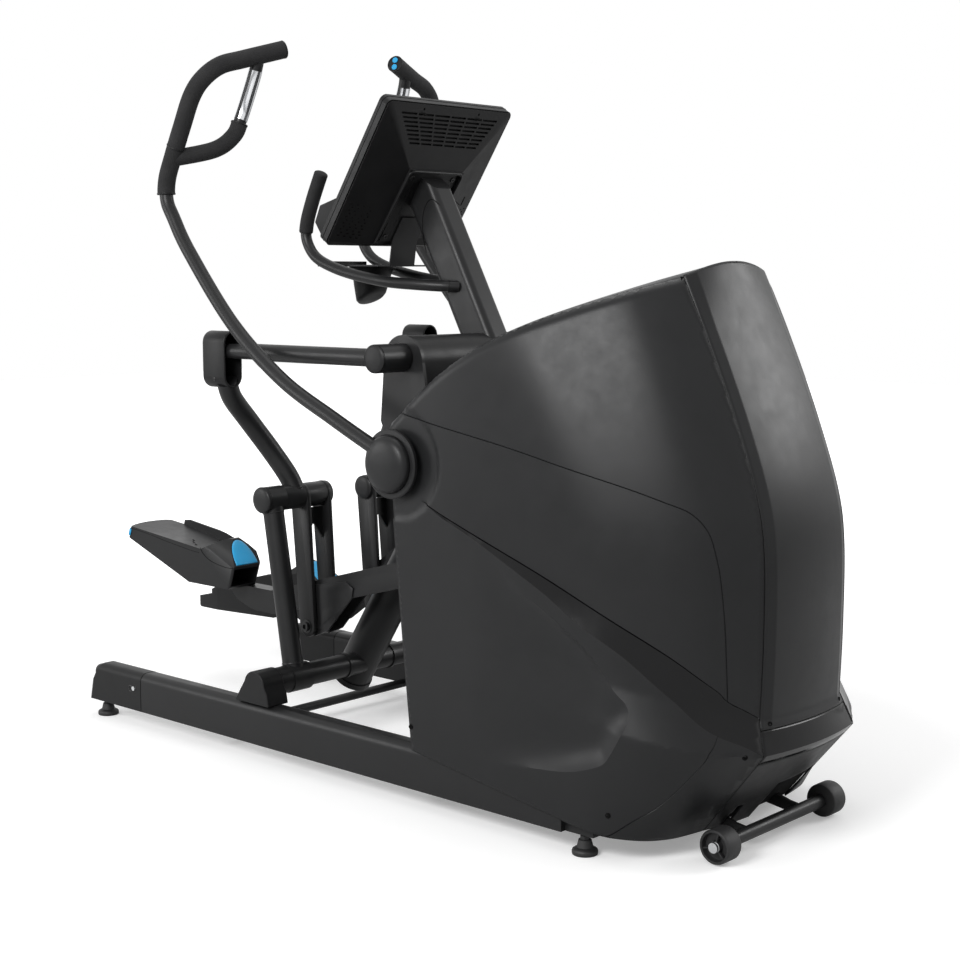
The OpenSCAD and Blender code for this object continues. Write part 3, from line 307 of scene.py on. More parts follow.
CHARCOAL = Finish("charcoal_plastic", "satin_charcoal", (0.0105, 0.0107, 0.0112), (0.34, 0.42),
                  Grain.SPARK, size=0.9, depth=0.008, specular=0.2, tone=0.08)
SHELL = Finish("console_plastic", "satin_charcoal", (0.0045, 0.0045, 0.0048), (0.42, 0.52),
               Grain.SPARK, size=0.8, depth=0.012, specular=0.22, tone=0.08)
DARK_PLASTIC = Finish("dark_plastic", "satin_charcoal", (0.0075, 0.0076, 0.0079), (0.36, 0.46),
                      Grain.SPARK, size=0.9, depth=0.01, specular=0.18, tone=0.08)
POWDER = Finish("satin_powder_coat", "powder_black", (0.0105, 0.0106, 0.011), (0.32, 0.42),
                Grain.ORANGE_PEEL, size=2.4, depth=0.004, specular=0.22, tone=0.1)
GLOSS = Finish("polished_black", "gloss_black", (0.004, 0.004, 0.0043), (0.13, 0.2),
               Grain.POLISHED, depth=0.006, specular=0.2)
SATIN_GLOSS = Finish("satin_gloss_black", "gloss_black", (0.0035, 0.0035, 0.0038), (0.15, 0.22),
                     Grain.POLISHED, depth=0.006, specular=0.22)
GLASS = Finish("screen_glass", "screen", (0.004, 0.005, 0.007), (0.03, 0.09),
               Grain.POLISHED, depth=0.004, coat=1.0)
FOAM_GRIP = Finish("foam_grip", "grip_rubber", (0.0095, 0.0095, 0.01), (0.72, 0.88),
                   Grain.FOAM, size=1.3, depth=0.18, specular=0.3)
RUBBER = Finish("hard_rubber", "grip_rubber", (0.011, 0.011, 0.0115), (0.5, 0.66),
                Grain.PEBBLE, size=1.4, depth=0.07, specular=0.4)
BLUE = Finish("blue_trim_plastic", "blue_trim", (0.012, 0.29, 0.56), (0.3, 0.42),
              Grain.PEBBLE, size=1.6, depth=0.05, tone=0.08)
STEEL = Finish("turned_steel", "machined_steel", (0.52, 0.53, 0.55), (0.2, 0.34),
               Grain.BRUSHED, size=0.7, depth=0.03, metal=1.0)
ZINC = Finish("zinc_plate", "machined_steel", (0.62, 0.63, 0.64), (0.22, 0.38),
              Grain.SPARK, size=0.6, depth=0.03, metal=1.0)
BLACK_BOLT = Finish("black_oxide", "powder_black", (0.014, 0.014, 0.0145), (0.3, 0.42),
                    Grain.SPARK, size=0.5, depth=0.03, metal=0.4)
SENSOR = Finish("sensor_chrome", "bright_sensor", (0.72, 0.73, 0.75), (0.1, 0.2),
                Grain.BRUSHED, size=0.8, depth=0.01, metal=1.0)
CAST = Finish("cast_flywheel_iron", "cast_flywheel", (0.17, 0.17, 0.18), (0.3, 0.45),
              Grain.TURNED, size=4.0, depth=0.05, metal=1.0,
              turned_about=((1777.7 - ORIGIN_X) / 1000, 0, 0.5292))
PULLEY = Finish("pulley_alloy", "machined_steel", (0.3, 0.3, 0.31), (0.32, 0.46),
                Grain.TURNED, size=5.0, depth=0.05, metal=1.0,
                turned_about=((1512.7 - ORIGIN_X) / 1000, 0, 0.8142))
# Near-black finish: painted shade where it fills the space behind seams, vents, ports and the
# belly's openings; the own colour of the dark seam lines, joint gaps and screws that also use it.
PAINTED_SHADE_AND_BLACK_DETAIL = Finish("shadow_gap", "satin_charcoal", (0.002, 0.002, 0.002), (0.8, 0.95),
              Grain.SPARK, size=1.0, depth=0.02, specular=0.1)


# ---------------------------------------------------------------- mesh tools

BEAD_STEPS = 40                # rings of a weld bead round its tube


def unit(v: np.ndarray) -> np.ndarray:
    """Returns a vector, or rows of vectors, at length one."""
    return v / np.maximum(np.linalg.norm(v, axis=-1, keepdims=True), 1e-12)


def spline(points: list, steps: int) -> np.ndarray:
    """Smooth curve through points.

    Args:
        points: points that the curve passes through.
        steps: pieces between neighbouring points.

    Returns:
        The curve's points, one row each.
    """
    p = np.array(points, float)
    last = len(p) - 1
    rows = []
    for i in range(last):
        a, b, c, d = p[max(i - 1, 0)], p[i], p[i + 1], p[min(i + 2, last)]
        for k in range(steps):
            t = k / steps
            rows.append(0.5 * (2 * b + (c - a) * t + (2 * a - 5 * b + 4 * c - d) * t * t
                               + (3 * b - a - 3 * c + d) * t ** 3))
    rows.append(p[last])
    return np.array(rows)


def along(curve: np.ndarray, share: np.ndarray) -> np.ndarray:
    """Returns points at shares 0 to 1 of a curve's point list."""
    share = np.clip(np.atleast_1d(share), 0, 1) * (len(curve) - 1)
    index = np.minimum(share.astype(int), len(curve) - 2)
    part = (share - index)[:, None]
    return curve[index] * (1 - part) + curve[index + 1] * part


def smooth(x: np.ndarray) -> np.ndarray:
    """Returns the soft step from 0 to 1 of a value or array."""
    c = np.clip(x, 0, 1)
    return c * c * (3 - 2 * c)


def circle(n: np.ndarray, b: np.ndarray, steps: int) -> np.ndarray:
    """Returns points of the unit circle that runs from n towards b."""
    angles = 2 * math.pi * np.arange(steps) / steps
    return np.cos(angles)[:, None] * n + np.sin(angles)[:, None] * b


class Form:
    """A mesh put together from simple runs, in machine millimetres."""

    def __init__(self) -> None:
        """Starts an empty form."""
        self.points: list[np.ndarray] = []
        self.faces: list[tuple[int, ...]] = []
        self.count = 0

    def add(self, points: np.ndarray, faces: list[tuple[int, ...]]) -> "Form":
        """Adds points and the faces between them.

        Args:
            points: one row for each point.
            faces: indices into these points.

        Returns:
            The form.
        """
        self.points.append(np.asarray(points, float))
        self.faces += [tuple(i + self.count for i in f) for f in faces]
        self.count += len(points)
        return self

    def loft(self, rings: np.ndarray, caps: bool = True, loop: bool = False) -> "Form":
        """Adds a skin over closed rings of points.

        Args:
            rings: rings by points by xyz.
            caps: whether the two ends are closed.
            loop: whether the last ring joins the first.

        Returns:
            The form.
        """
        rings = np.asarray(rings, float)
        n, k = rings.shape[:2]
        faces = [(i * k + j, i * k + (j + 1) % k, (i + 1) % n * k + (j + 1) % k,
                  (i + 1) % n * k + j) for i in range(n if loop else n - 1) for j in range(k)]
        if caps and not loop:
            faces += [tuple(range(k))[::-1], tuple((n - 1) * k + j for j in range(k))]
        return self.add(rings.reshape(-1, 3), faces)

    def sheet(self, grid: np.ndarray,
              is_open: Callable[[np.ndarray], bool] = lambda middle: False) -> "Form":
        """Adds an open skin over a grid of points.

        Args:
            grid: rows by columns by xyz.
            is_open: tells from a face's middle whether it is left out.

        Returns:
            The form.
        """
        n, k = grid.shape[:2]
        faces = [(i * k + j, (i + 1) * k + j, (i + 1) * k + j + 1, i * k + j + 1)
                 for i in range(n - 1) for j in range(k - 1)
                 if not is_open(grid[i:i + 2, j:j + 2].reshape(-1, 3).mean(axis=0))]
        return self.add(grid.reshape(-1, 3), faces)

    def sweep(self, path: np.ndarray, radius: float, sides: int = 32,
              dome: float = 0.0) -> "Form":
        """Adds a round tube along a path.

        Args:
            path: the tube's centre line.
            radius: its radius.
            sides: points around it.
            dome: how far the two ends bulge, as a share of the radius.

        Returns:
            The form.
        """
        path = np.asarray(path, float)
        radii = np.full(len(path), float(radius))
        if dome:
            path, radii = self._domed(path, radii, dome)
        t = unit(np.gradient(path, axis=0))
        n = np.array([0.0, 0, 1]) if abs(t[0][2]) < 0.9 else np.array([0.0, 1, 0])
        rings = []
        for centre, r, axis in zip(path, radii, t):
            n = unit(n - (n @ axis) * axis)
            rings.append(centre + r * circle(n, np.cross(axis, n), sides))
        return self.loft(np.array(rings))

    @staticmethod
    def _domed(path: np.ndarray, radii: np.ndarray,
               dome: float) -> tuple[np.ndarray, np.ndarray]:
        """Puts rounded ends on a path.

        Args:
            path: the tube's centre line.
            radii: its radius at each point.
            dome: how far the ends bulge, as a share of the radius.

        Returns:
            The longer path and its radii.
        """
        turns = np.radians([22, 45, 66, 84])
        for end in (0, -1):
            step = unit(path[end] - path[1 if end == 0 else -2])
            extra = [path[end] + step * radii[end] * dome * math.sin(a) for a in turns]
            small = [radii[end] * math.cos(a) for a in turns]
            if end == 0:
                path = np.vstack([extra[::-1], path])
                radii = np.concatenate([small[::-1], radii])
            else:
                path = np.vstack([path, extra])
                radii = np.concatenate([radii, small])
        return path, radii

    def turned(self, centre: Point, axis: Point, profile: list[Flat], steps: int = 64) -> "Form":
        """Adds a turned part.

        Args:
            centre: where the profile's height is zero.
            axis: direction of its height.
            profile: radius and height of each ring, both ends closed.
            steps: points around it.

        Returns:
            The form.
        """
        up = unit(np.array(axis, float))
        n = unit(np.cross(up, [0.3, 0.2, 1.0]))
        ring = circle(n, np.cross(up, n), steps)
        rings = [np.array(centre, float) + up * h + ring * max(r, 0.01) for r, h in profile]
        return self.loft(np.array(rings))

    def hub(self, pivot: Flat, profile: list[Flat], steps: int = 64) -> "Form":
        """Adds a part turned about the line along Y through a pivot."""
        return self.turned((pivot[0], 0, pivot[1]), (0, 1, 0), profile, steps)

    def bead(self, centre: np.ndarray, axis: np.ndarray, radius: float,
             size: float) -> "Form":
        """Adds a weld bead that runs round a tube.

        Args:
            centre: middle of the tube there.
            axis: the tube's direction.
            radius: the tube's radius.
            size: radius of the bead.

        Returns:
            The form.
        """
        axis = unit(np.array(axis, float))
        n = unit(np.cross(axis, [0.2, 0.9, 0.31]))
        b = np.cross(axis, n)
        rings = []
        for a in 2 * math.pi * np.arange(BEAD_STEPS) / BEAD_STEPS:
            out = math.cos(a) * n + math.sin(a) * b
            fat = size * (1 + 0.16 * math.sin(9 * a))
            rings.append([centre + out * (radius + fat * 0.7 * math.cos(t))
                          + axis * fat * math.sin(t) for t in np.radians(range(0, 360, 60))])
        return self.loft(np.array(rings), caps=False, loop=True)

    def block(self, centre: Point, size: Point) -> "Form":
        """Adds a small block with eased edges.

        Args:
            centre: its middle.
            size: its length along X, Y and Z.

        Returns:
            The form.
        """
        cx, cy, cz = centre
        sx, sy, sz = size
        ease = 0.25
        rings = []
        for x, inset in ((-sx / 2, ease), (-sx / 2 + ease, 0), (sx / 2 - ease, 0),
                         (sx / 2, ease)):
            hy, hz = sy / 2 - inset, sz / 2 - inset
            e = min(0.6, hy * 0.4, hz * 0.4)
            rings.append([(cx + x, cy + y, cz + z) for y, z in
                          ((-hy, -hz + e), (-hy, hz - e), (-hy + e, hz), (hy - e, hz),
                           (hy, hz - e), (hy, -hz + e), (hy - e, -hz), (-hy + e, -hz))])
        return self.loft(np.array(rings))

    def screw(self, place: np.ndarray, normal: Point, radius: float,
              height: float = 1.2) -> "Form":
        """Adds a low screw head with a socket.

        Args:
            place: middle of its seat.
            normal: direction that it faces.
            radius: its radius.
            height: how far it stands out.

        Returns:
            The form.
        """
        r, h, seat, socket = radius, height, -3, 1.6
        profile = [(0, seat), (r, seat), (r, h * 0.5), (r * 0.9, h), (r * 0.5, h),
                   (r * 0.46, h - socket), (0, h - socket)]
        return self.turned(tuple(place), normal, profile, steps=28)

    def plate(self, outline: list, y0: float, y1: float, edge: float = 1.2) -> "Form":
        """Adds a flat plate with eased edges, cut from a side-plane outline.

        Args:
            outline: its corners, as x and z.
            y0: where it starts along Y.
            y1: where it ends along Y.
            edge: size of the eased edge.

        Returns:
            The form.
        """
        line = np.array(outline, float)
        if np.sum(line[:, 0] * np.roll(line[:, 1], -1) - line[:, 1] * np.roll(line[:, 0], -1)) < 0:
            line = line[::-1]
        d0 = unit(line - np.roll(line, 1, axis=0))
        d1 = unit(np.roll(line, -1, axis=0) - line)
        n0 = np.stack([-d0[:, 1], d0[:, 0]], axis=1)
        n1 = np.stack([-d1[:, 1], d1[:, 0]], axis=1)
        mitre = unit(n0 + n1) / np.maximum(np.sum(unit(n0 + n1) * n0, axis=1), 0.5)[:, None]
        low, high = min(y0, y1), max(y0, y1)
        rings = []
        for inset, y in ((edge, low), (edge * 0.3, low + edge * 0.3), (0, low + edge),
                         (0, high - edge), (edge * 0.3, high - edge * 0.3), (edge, high)):
            flat = line + mitre * inset
            rings.append(np.stack([flat[:, 0], np.full(len(flat), y), flat[:, 1]], axis=1))
        return self.loft(np.array(rings))

    def mirrored(self, side: Side) -> "Form":
        """Turns a form drawn on the left side into the one for a side."""
        self.points = [p * np.array([1, side.value, 1]) for p in self.points]
        return self

    def moved(self, matrix: np.ndarray) -> "Form":
        """Moves every point by a 4 by 4 matrix."""
        self.points = [p @ matrix[:3, :3].T + matrix[:3, 3] for p in self.points]
        return self

    def piece(self, name: str, finish: Finish, body: str, stands_for: tuple[str, ...] = (),
              angle: float = 38.0, weld: float = 0.01) -> bpy.types.Object:
        """Turns the form into a piece that rides on a body.

        Args:
            name: name of the piece.
            finish: its finish.
            body: the body that it rides on.
            stands_for: CAD nodes that it replaces.
            angle: folds sharper than this show as edges.
            weld: points closer than this become one.

        Returns:
            The new object.
        """
        mesh = bpy.data.meshes.new(name)
        points = (np.vstack(self.points) - np.array([ORIGIN_X, 0, 0])) / 1000
        mesh.from_pydata(points.tolist(), [], self.faces)
        work = bmesh.new()
        work.from_mesh(mesh)
        bmesh.ops.remove_doubles(work, verts=work.verts, dist=weld / 1000)
        bmesh.ops.recalc_face_normals(work, faces=work.faces)
        work.to_mesh(mesh)
        work.free()
        mesh.shade_smooth()
        mesh.set_sharp_from_angle(angle=math.radians(angle))
        return dress(bpy.data.objects.new(name, mesh), finish, body, stands_for)

    def on_side(self, side: Side, name: str, finish: Finish, body: str = "",
                node: str = "", angle: float = 38.0) -> bpy.types.Object:
        """Makes one side's piece from a form drawn on the left.

        Args:
            side: which side.
            name: name of the piece, before the side's word.
            finish: its finish.
            body: its body's name before that word, or nothing for the fixed frame.
            node: name before that word of the CAD node that it replaces, if any.
            angle: folds sharper than this show as edges.

        Returns:
            The new object.
        """
        word = side.word
        return self.mirrored(side).piece(
            f"{name}_{word}", finish, f"{body}_{word}" if body else "frame",
            (f"{node}_{word}",) if node else (), angle)


def dress(thing: bpy.types.Object, finish: Finish, body: str,
          stands_for: tuple[str, ...] = ()) -> bpy.types.Object:
    """Links a piece, gives it its finish and sets it on its body.

    Args:
        thing: the new object.
        finish: its finish.
        body: the body that it rides on.
        stands_for: CAD nodes that it replaces.

    Returns:
        The same object.
    """
    bpy.context.scene.collection.objects.link(thing)
    thing.data.materials.clear()
    thing.data.materials.append(finish.material())
    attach(thing, body)
    if stands_for:
        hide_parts(*stands_for)
    return thing


def walled(skin: bpy.types.Object, thickness: float) -> bpy.types.Object:
    """Returns a skin with a wall that grows inwards, in millimetres."""
    shell = skin.modifiers.new("wall", "SOLIDIFY")
    shell.thickness = thickness / 1000
    shell.offset = -1
    return skin


def linked(name: str, data: bpy.types.ID) -> bpy.types.Object:
    """Returns a new object that the scene shows."""
    thing = bpy.data.objects.new(name, data)
    bpy.context.scene.collection.objects.link(thing)
    return thing


def finish_node(node: str, finish: Finish) -> None:
    """Gives a CAD node a finish.

    Args:
        node: name of the node.
        finish: its finish.
    """
    thing = frame["nodes"][node]
    if not thing.material_slots:
        thing.data.materials.append(finish.material())
    for slot in thing.material_slots:
        slot.material = finish.material()


def eased(node: str, finish: Finish, width: float = 1.5, segments: int = 2,
          angle: float = 35.0) -> bpy.types.Object:
    """Stands a copy with rounded edges in for a CAD node.

    Args:
        node: name of the node.
        finish: the copy's finish.
        width: how far each edge is cut back, in millimetres.
        segments: faces across the rounding.
        angle: folds sharper than this are rounded.

    Returns:
        The copy.
    """
    source = frame["nodes"][node]
    mesh = source.data.copy()
    work = bmesh.new()
    work.from_mesh(mesh)
    bmesh.ops.remove_doubles(work, verts=work.verts, dist=2e-5)
    bmesh.ops.dissolve_limit(work, angle_limit=math.radians(0.6), verts=work.verts,
                             edges=work.edges)
    work.to_mesh(mesh)
    work.free()
    mesh.shade_smooth()
    mesh.set_sharp_from_angle(angle=math.radians(angle))
    thing = bpy.data.objects.new(f"{node}_skin", mesh)
    thing.matrix_world = source.matrix_world.copy()
    round_off = thing.modifiers.new("eased", "BEVEL")
    round_off.width = width / 1000
    round_off.segments = segments
    round_off.limit_method = "ANGLE"
    round_off.angle_limit = math.radians(angle)
    round_off.harden_normals = True
    round_off.use_clamp_overlap = True
    body = source.parent.name.removeprefix("body:")
    return dress(thing, finish, body, (node,))


# --------------------------------------------------------------- the housing

SIDE_Y = 391.0
COVER_Y = 160.0
HAND_PIVOT = (1180.0, 796.0)
REAR_EDGE = spline([[1222, SIDE_Y, 140], [1196, SIDE_Y, 380], [1170, SIDE_Y, 640],
                    [1157, SIDE_Y, 800], [1152, SIDE_Y, 892]], 12)
LOW_EDGE = spline([[1222, SIDE_Y, 140], [1420, SIDE_Y, 110], [1610, SIDE_Y, 82],
                   [1742, SIDE_Y - 6, 62], [1815, SIDE_Y - 46, 50], [1852, 270, 43],
                   [1868, COVER_Y + 4, 40]], 12)
HIGH_EDGE = spline([[1152, SIDE_Y, 892], [1280, SIDE_Y - 5, 996], [1390, SIDE_Y - 20, 1064],
                    [1488, SIDE_Y - 46, 1110], [1590, SIDE_Y - 96, 1150],
                    [1700, SIDE_Y - 150, 1186], [1793, COVER_Y, 1217]], 12)
LIP_EDGE = np.array([[1868, COVER_Y + 4, 40], [2027, COVER_Y + 22, 236],
                     [2002, COVER_Y + 1, 306]])
NOSE_EDGE = np.vstack([np.linspace(LIP_EDGE[0], LIP_EDGE[1], 25)[:-1],
                       np.linspace(LIP_EDGE[1], LIP_EDGE[2], 13)[:-1],
                       spline([[2002, COVER_Y + 1, 306], [2007, COVER_Y, 460],
                               [2005, COVER_Y, 641], [1985, COVER_Y, 763],
                               [1928, COVER_Y, 923], [1855, COVER_Y, 1090],
                               [1793, COVER_Y, 1217]], 12)])


class Seam(Enum):
    """Lines that part the side of the housing, as x and z from back to front."""

    UPPER = ((1140, 921), (1221, 903), (1478, 855), (1629, 819), (1755, 784), (1840, 755),
             (1888, 734), (1919, 697), (1935, 642), (1944, 581), (1951, 478), (1954, 345))
    BLADE_TOP = ((1262, 715), (1300, 698), (1429, 647), (1593, 579), (1738, 510), (1856, 440),
                 (1931, 375), (1954, 345), (1979, 326), (2003, 307))
    BLADE_LOW = ((1262, 715), (1312, 687), (1400, 651), (1485, 610), (1607, 548), (1683, 500),
                 (1783, 441), (1860, 374), (1928, 310), (1962, 283), (1997, 260), (2026, 237))
    CORNER = ((1962, 283), (1960, 250), (1933, 210), (1892, 159), (1859, 124), (1822, 96),
              (1790, 70), (1770, 57))
    SCOOP = ((1420, 640), (1485, 599), (1541, 551), (1647, 489), (1721, 435), (1775, 369),
             (1806, 341), (1815, 316), (1812, 290), (1786, 238), (1764, 211), (1714, 191),
             (1661, 179), (1579, 171), (1478, 162), (1380, 170))

    def curve(self, steps: int = 8) -> np.ndarray:
        """Returns the smoothed line."""
        return spline(list(self.value), steps)


def nearest(points: np.ndarray, line: np.ndarray) -> np.ndarray:
    """Distance from points to a line in the side plane.

    Args:
        points: rows of x and z.
        line: the line's points.

    Returns:
        The distances, positive to the left of the line's run.
    """
    best = np.full(len(points), 1e9)
    sign = np.ones(len(points))
    for a, d in zip(line[:-1], np.diff(line, axis=0)):
        t = np.clip(((points - a) @ d) / (d @ d), 0, 1)
        gap = points - a - t[:, None] * d
        size = np.linalg.norm(gap, axis=1)
        closer = size < best
        best = np.where(closer, size, best)
        cross = d[0] * (points[:, 1] - a[1]) - d[1] * (points[:, 0] - a[0])
        sign = np.where(closer, np.where(cross >= 0, 1.0, -1.0), sign)
    return best * sign


def inside(points: np.ndarray, outline: np.ndarray) -> np.ndarray:
    """Tells which side-plane points lie within an outline.

    Args:
        points: rows of x and z.
        outline: the outline's corners.

    Returns:
        One truth value for each point.
    """
    hit = np.zeros(len(points), bool)
    x, z = points[:, 0], points[:, 1]
    for a, b in zip(outline, np.roll(outline, -1, axis=0)):
        span = (a[1] > z) != (b[1] > z)
        with np.errstate(divide="ignore", invalid="ignore"):
            reach = (b[0] - a[0]) * (z - a[1]) / (b[1] - a[1]) + a[0]
        hit ^= span & (x < reach)
    return hit


@dataclass
class SidePanel:
    """One side of the drive housing, pressed from the blend of its four edges."""

    grid: float = 8.0              # spacing of the skin's points
    wall: float = 3.5
    shoulder: float = 30.0         # radius where the side rolls into the roof
    groove: Flat = (1.3, 2.4)      # half width and depth of a seam
    blade: float = 24.0            # depth that the blade is cut in under the panel
    scoop: float = 24.0            # depth of the leaf-shaped scoop
    dish_r: float = 126.0          # round recess about the hand arm's boss
    blade_tip: float = 1262.0      # the blade's rear end, along X
    corner_back: float = 1760.0    # the flat corner's rear end
    scoop_crisp: float = 1560.0    # the scoop's edge is a sharp fold ahead of this
    clear: float = 1.2             # drawn lines stop this far from the outline

    def base(self, s: np.ndarray, t: np.ndarray) -> np.ndarray:
        """Returns the plain surface at shares s along and t up."""
        s, t = np.atleast_1d(s), np.atleast_1d(t)
        a, b = along(LOW_EDGE, s), along(HIGH_EDGE, s)
        c, d = along(REAR_EDGE, t), along(NOSE_EDGE, t)
        s, t = s[:, None], t[:, None]
        return ((1 - t) * a + t * b + (1 - s) * c + s * d - (1 - s) * (1 - t) * LOW_EDGE[0]
                - s * (1 - t) * NOSE_EDGE[0] - (1 - s) * t * HIGH_EDGE[0] - s * t * HIGH_EDGE[-1])

    def depth_of(self, flat: np.ndarray) -> np.ndarray:
        """Finds the plain surface's Y above side-plane points.

        Args:
            flat: rows of x and z.

        Returns:
            The Y of each.
        """
        s = np.clip((flat[:, 0] - 1190) / 800, 0, 1)
        t = np.clip((flat[:, 1] - 100) / 1000, 0, 1)
        h = 1e-4
        for _ in range(14):
            here = self.base(s, t)
            ds = (self.base(np.clip(s + h, 0, 1), t) - self.base(np.clip(s - h, 0, 1), t))
            dt = (self.base(s, np.clip(t + h, 0, 1)) - self.base(s, np.clip(t - h, 0, 1)))
            ds /= (np.clip(s + h, 0, 1) - np.clip(s - h, 0, 1))[:, None]
            dt /= (np.clip(t + h, 0, 1) - np.clip(t - h, 0, 1))[:, None]
            ex, ez = flat[:, 0] - here[:, 0], flat[:, 1] - here[:, 2]
            det = ds[:, 0] * dt[:, 2] - ds[:, 2] * dt[:, 0]
            det = np.where(np.abs(det) < 1e-6, 1e-6, det)
            s = np.clip(s + np.clip((ex * dt[:, 2] - ez * dt[:, 0]) / det, -0.2, 0.2), 0, 1)
            t = np.clip(t + np.clip((ez * ds[:, 0] - ex * ds[:, 2]) / det, -0.2, 0.2), 0, 1)
        return self.base(s, t)[:, 1]

    def zones(self, flat: np.ndarray) -> tuple[np.ndarray, np.ndarray, np.ndarray]:
        """Tells which zones of the panel side-plane points lie in.

        Args:
            flat: rows of x and z.

        Returns:
            Truth values for the blade, the scoop and the corner.
        """
        low = nearest(flat, Seam.BLADE_LOW.curve())
        blade = (nearest(flat, Seam.BLADE_TOP.curve()) < 0) & (low > 0) & (
            flat[:, 0] > self.blade_tip)
        corner = (low < 0) & (nearest(flat, Seam.CORNER.curve()) > 0) & (
            flat[:, 0] > self.corner_back)
        return blade, inside(flat, Seam.SCOOP.curve()), corner

    def pressed(self, flat: np.ndarray) -> np.ndarray:
        """Depth that the surface is pressed in at side-plane points.

        Args:
            flat: rows of x and z.

        Returns:
            The depth of each, in millimetres.
        """
        x = flat[:, 0]
        in_blade, leaf, ahead = self.zones(flat)
        top = nearest(flat, Seam.BLADE_TOP.curve())
        low = nearest(flat, Seam.BLADE_LOW.curve())
        strength = self.blade * smooth((x - 1300) / 420) * smooth((2010 - x) / 70)
        share = np.abs(low) / np.maximum(np.abs(low) + np.abs(top), 1e-6)
        above = top >= 0
        press = np.where(in_blade, strength * share, 0.0)
        press = np.where(above, strength * np.exp(-np.abs(top) / 170), press)
        # leaf-shaped scoop: a crisp edge ahead, fading out towards the back
        edge = nearest(flat, Seam.SCOOP.curve())
        cut = 1 - (1 - np.clip(np.abs(edge) / 62, 0, 1)) ** 2
        fade = smooth((x - 1400) / 330)
        press = press + np.where(leaf, self.scoop * cut * fade, 0.0)
        # flat corner ahead of the corner line
        corner = nearest(flat, Seam.CORNER.curve())
        nose = nearest(flat, NOSE_EDGE[:25, [0, 2]])
        part = np.abs(corner) / np.maximum(np.abs(corner) + np.abs(nose), 1e-6)
        press = press + np.where(ahead, 40 * part * (1 - part) * smooth(np.abs(low) / 80), 0.0)
        # round dish about the hand arm's boss
        reach = np.hypot(x - HAND_PIVOT[0], flat[:, 1] - HAND_PIVOT[1])
        press = press + 3.2 * (1 - smooth((reach - self.dish_r + 2) / 4))
        return press

    def _outline(self) -> np.ndarray:
        """Returns the side's outline in the side plane, corner to corner."""
        n = 110
        shares = np.linspace(0, 1, n)
        low, high = along(LOW_EDGE, shares), along(HIGH_EDGE, shares)
        nose, rear = along(NOSE_EDGE, shares), along(REAR_EDGE, shares)
        ring = np.vstack([low[:-1], nose[:-1], high[::-1][:-1], rear[::-1][:-1]])
        return ring[:, [0, 2]]

    def _lines(self) -> list[tuple[np.ndarray, bool]]:
        """Returns the drawn lines inside the side, and whether each is a groove."""
        dish = [(HAND_PIVOT[0] + self.dish_r * math.cos(a), HAND_PIVOT[1]
                 + self.dish_r * math.sin(a)) for a in np.linspace(-1.6, 1.75, 50)]
        return [(Seam.UPPER.curve(), True), (Seam.BLADE_TOP.curve(), True),
                (Seam.BLADE_LOW.curve(), False), (Seam.CORNER.curve(), True),
                (Seam.SCOOP.curve()[16:-16], False), (np.array(dish), False)]

    def flat_mesh(self) -> tuple[np.ndarray, list, np.ndarray]:
        """Cuts the side plane into triangles that follow every drawn line.

        Returns:
            The points, the triangles, and each point's share of a groove's depth.
        """
        ring = self._outline()
        points = [tuple(p) for p in ring]
        edges = [(i, (i + 1) % len(ring)) for i in range(len(ring))]
        marks: list[np.ndarray] = []
        grooves: list[np.ndarray] = []
        for line, grooved in self._lines():
            d = unit(np.gradient(line, axis=0))
            across = np.stack([-d[:, 1], d[:, 0]], axis=1)
            runs = [line]
            if grooved:
                runs += [line + across * self.groove[0], line - across * self.groove[0]]
                grooves.append(line)
            for run in runs:
                keep = inside(run, ring) & (np.abs(nearest(run, np.vstack([ring, ring[:1]])))
                                            > self.clear)
                first = len(points)
                points += [tuple(p) for p in run[keep]]
                kept = np.flatnonzero(keep)
                edges += [(first + i, first + i + 1) for i in range(len(kept) - 1)
                          if kept[i + 1] == kept[i] + 1]
                marks.append(run)
        low, high = ring.min(axis=0), ring.max(axis=0)
        rows = np.arange(low[1], high[1], self.grid * 0.87)
        fill = np.array([(x + (self.grid / 2 if k % 2 else 0), z) for k, z in enumerate(rows)
                         for x in np.arange(low[0], high[0], self.grid)])
        fill = fill[inside(fill, ring)]
        for line in [np.vstack([ring, ring[:1]])] + marks:
            fill = fill[np.abs(nearest(fill, line)) > self.grid * 0.45]
        points += [tuple(p) for p in fill]
        verts, _, faces, *_ = delaunay_2d_cdt([Vector(p) for p in points], edges, [], 1, 1e-4)
        flat = np.array([tuple(v) for v in verts])
        deep = np.zeros(len(flat))
        for line in grooves:
            gap = np.abs(nearest(flat, line))
            deep = np.maximum(deep, np.clip(1 - gap / self.groove[0], 0, 1))
        return flat, faces, deep

    def surface(self, flat: np.ndarray, deep: np.ndarray) -> np.ndarray:
        """Lifts side-plane points onto the pressed skin.

        Args:
            flat: rows of x and z.
            deep: each point's share of a groove's depth.

        Returns:
            The points in space, on the left side.
        """
        y = self.depth_of(flat) - self.pressed(flat)
        rim = np.interp(flat[:, 0], HIGH_EDGE[:, 0], HIGH_EDGE[:, 2])
        r = self.shoulder
        down = np.clip((rim - flat[:, 1]) / r, 0, 1)
        y -= r * (1 - np.sqrt(np.clip(1 - (1 - down) ** 2, 0, 1)))
        return np.stack([flat[:, 0], y - self.groove[1] * deep, flat[:, 1]], axis=1)

    def roof(self) -> np.ndarray:
        """Returns the grid of half of the roof, from the shoulder inwards."""
        shares = np.linspace(0, 1, 110)
        edge = along(HIGH_EDGE, shares)
        rows = []
        for q in np.concatenate([[0, 0.004, 0.015, 0.04, 0.08], np.linspace(0.13, 1, 20)]):
            fade = (1 - shares) ** 3 * min(1.0, q / 0.2)
            x = edge[:, 0] + 88 * fade
            y = (edge[:, 1] - self.shoulder) * (1 - q)
            z = edge[:, 2] + 70 * fade + (12 + 18 * shares) * (1 - (1 - q) ** 2.4)
            ahead = 24 * (1 - (1 - q) ** 2) * smooth((shares - 0.8) / 0.2)
            rows.append(np.stack([x + ahead, y, z], axis=1))
        return np.array(rows)

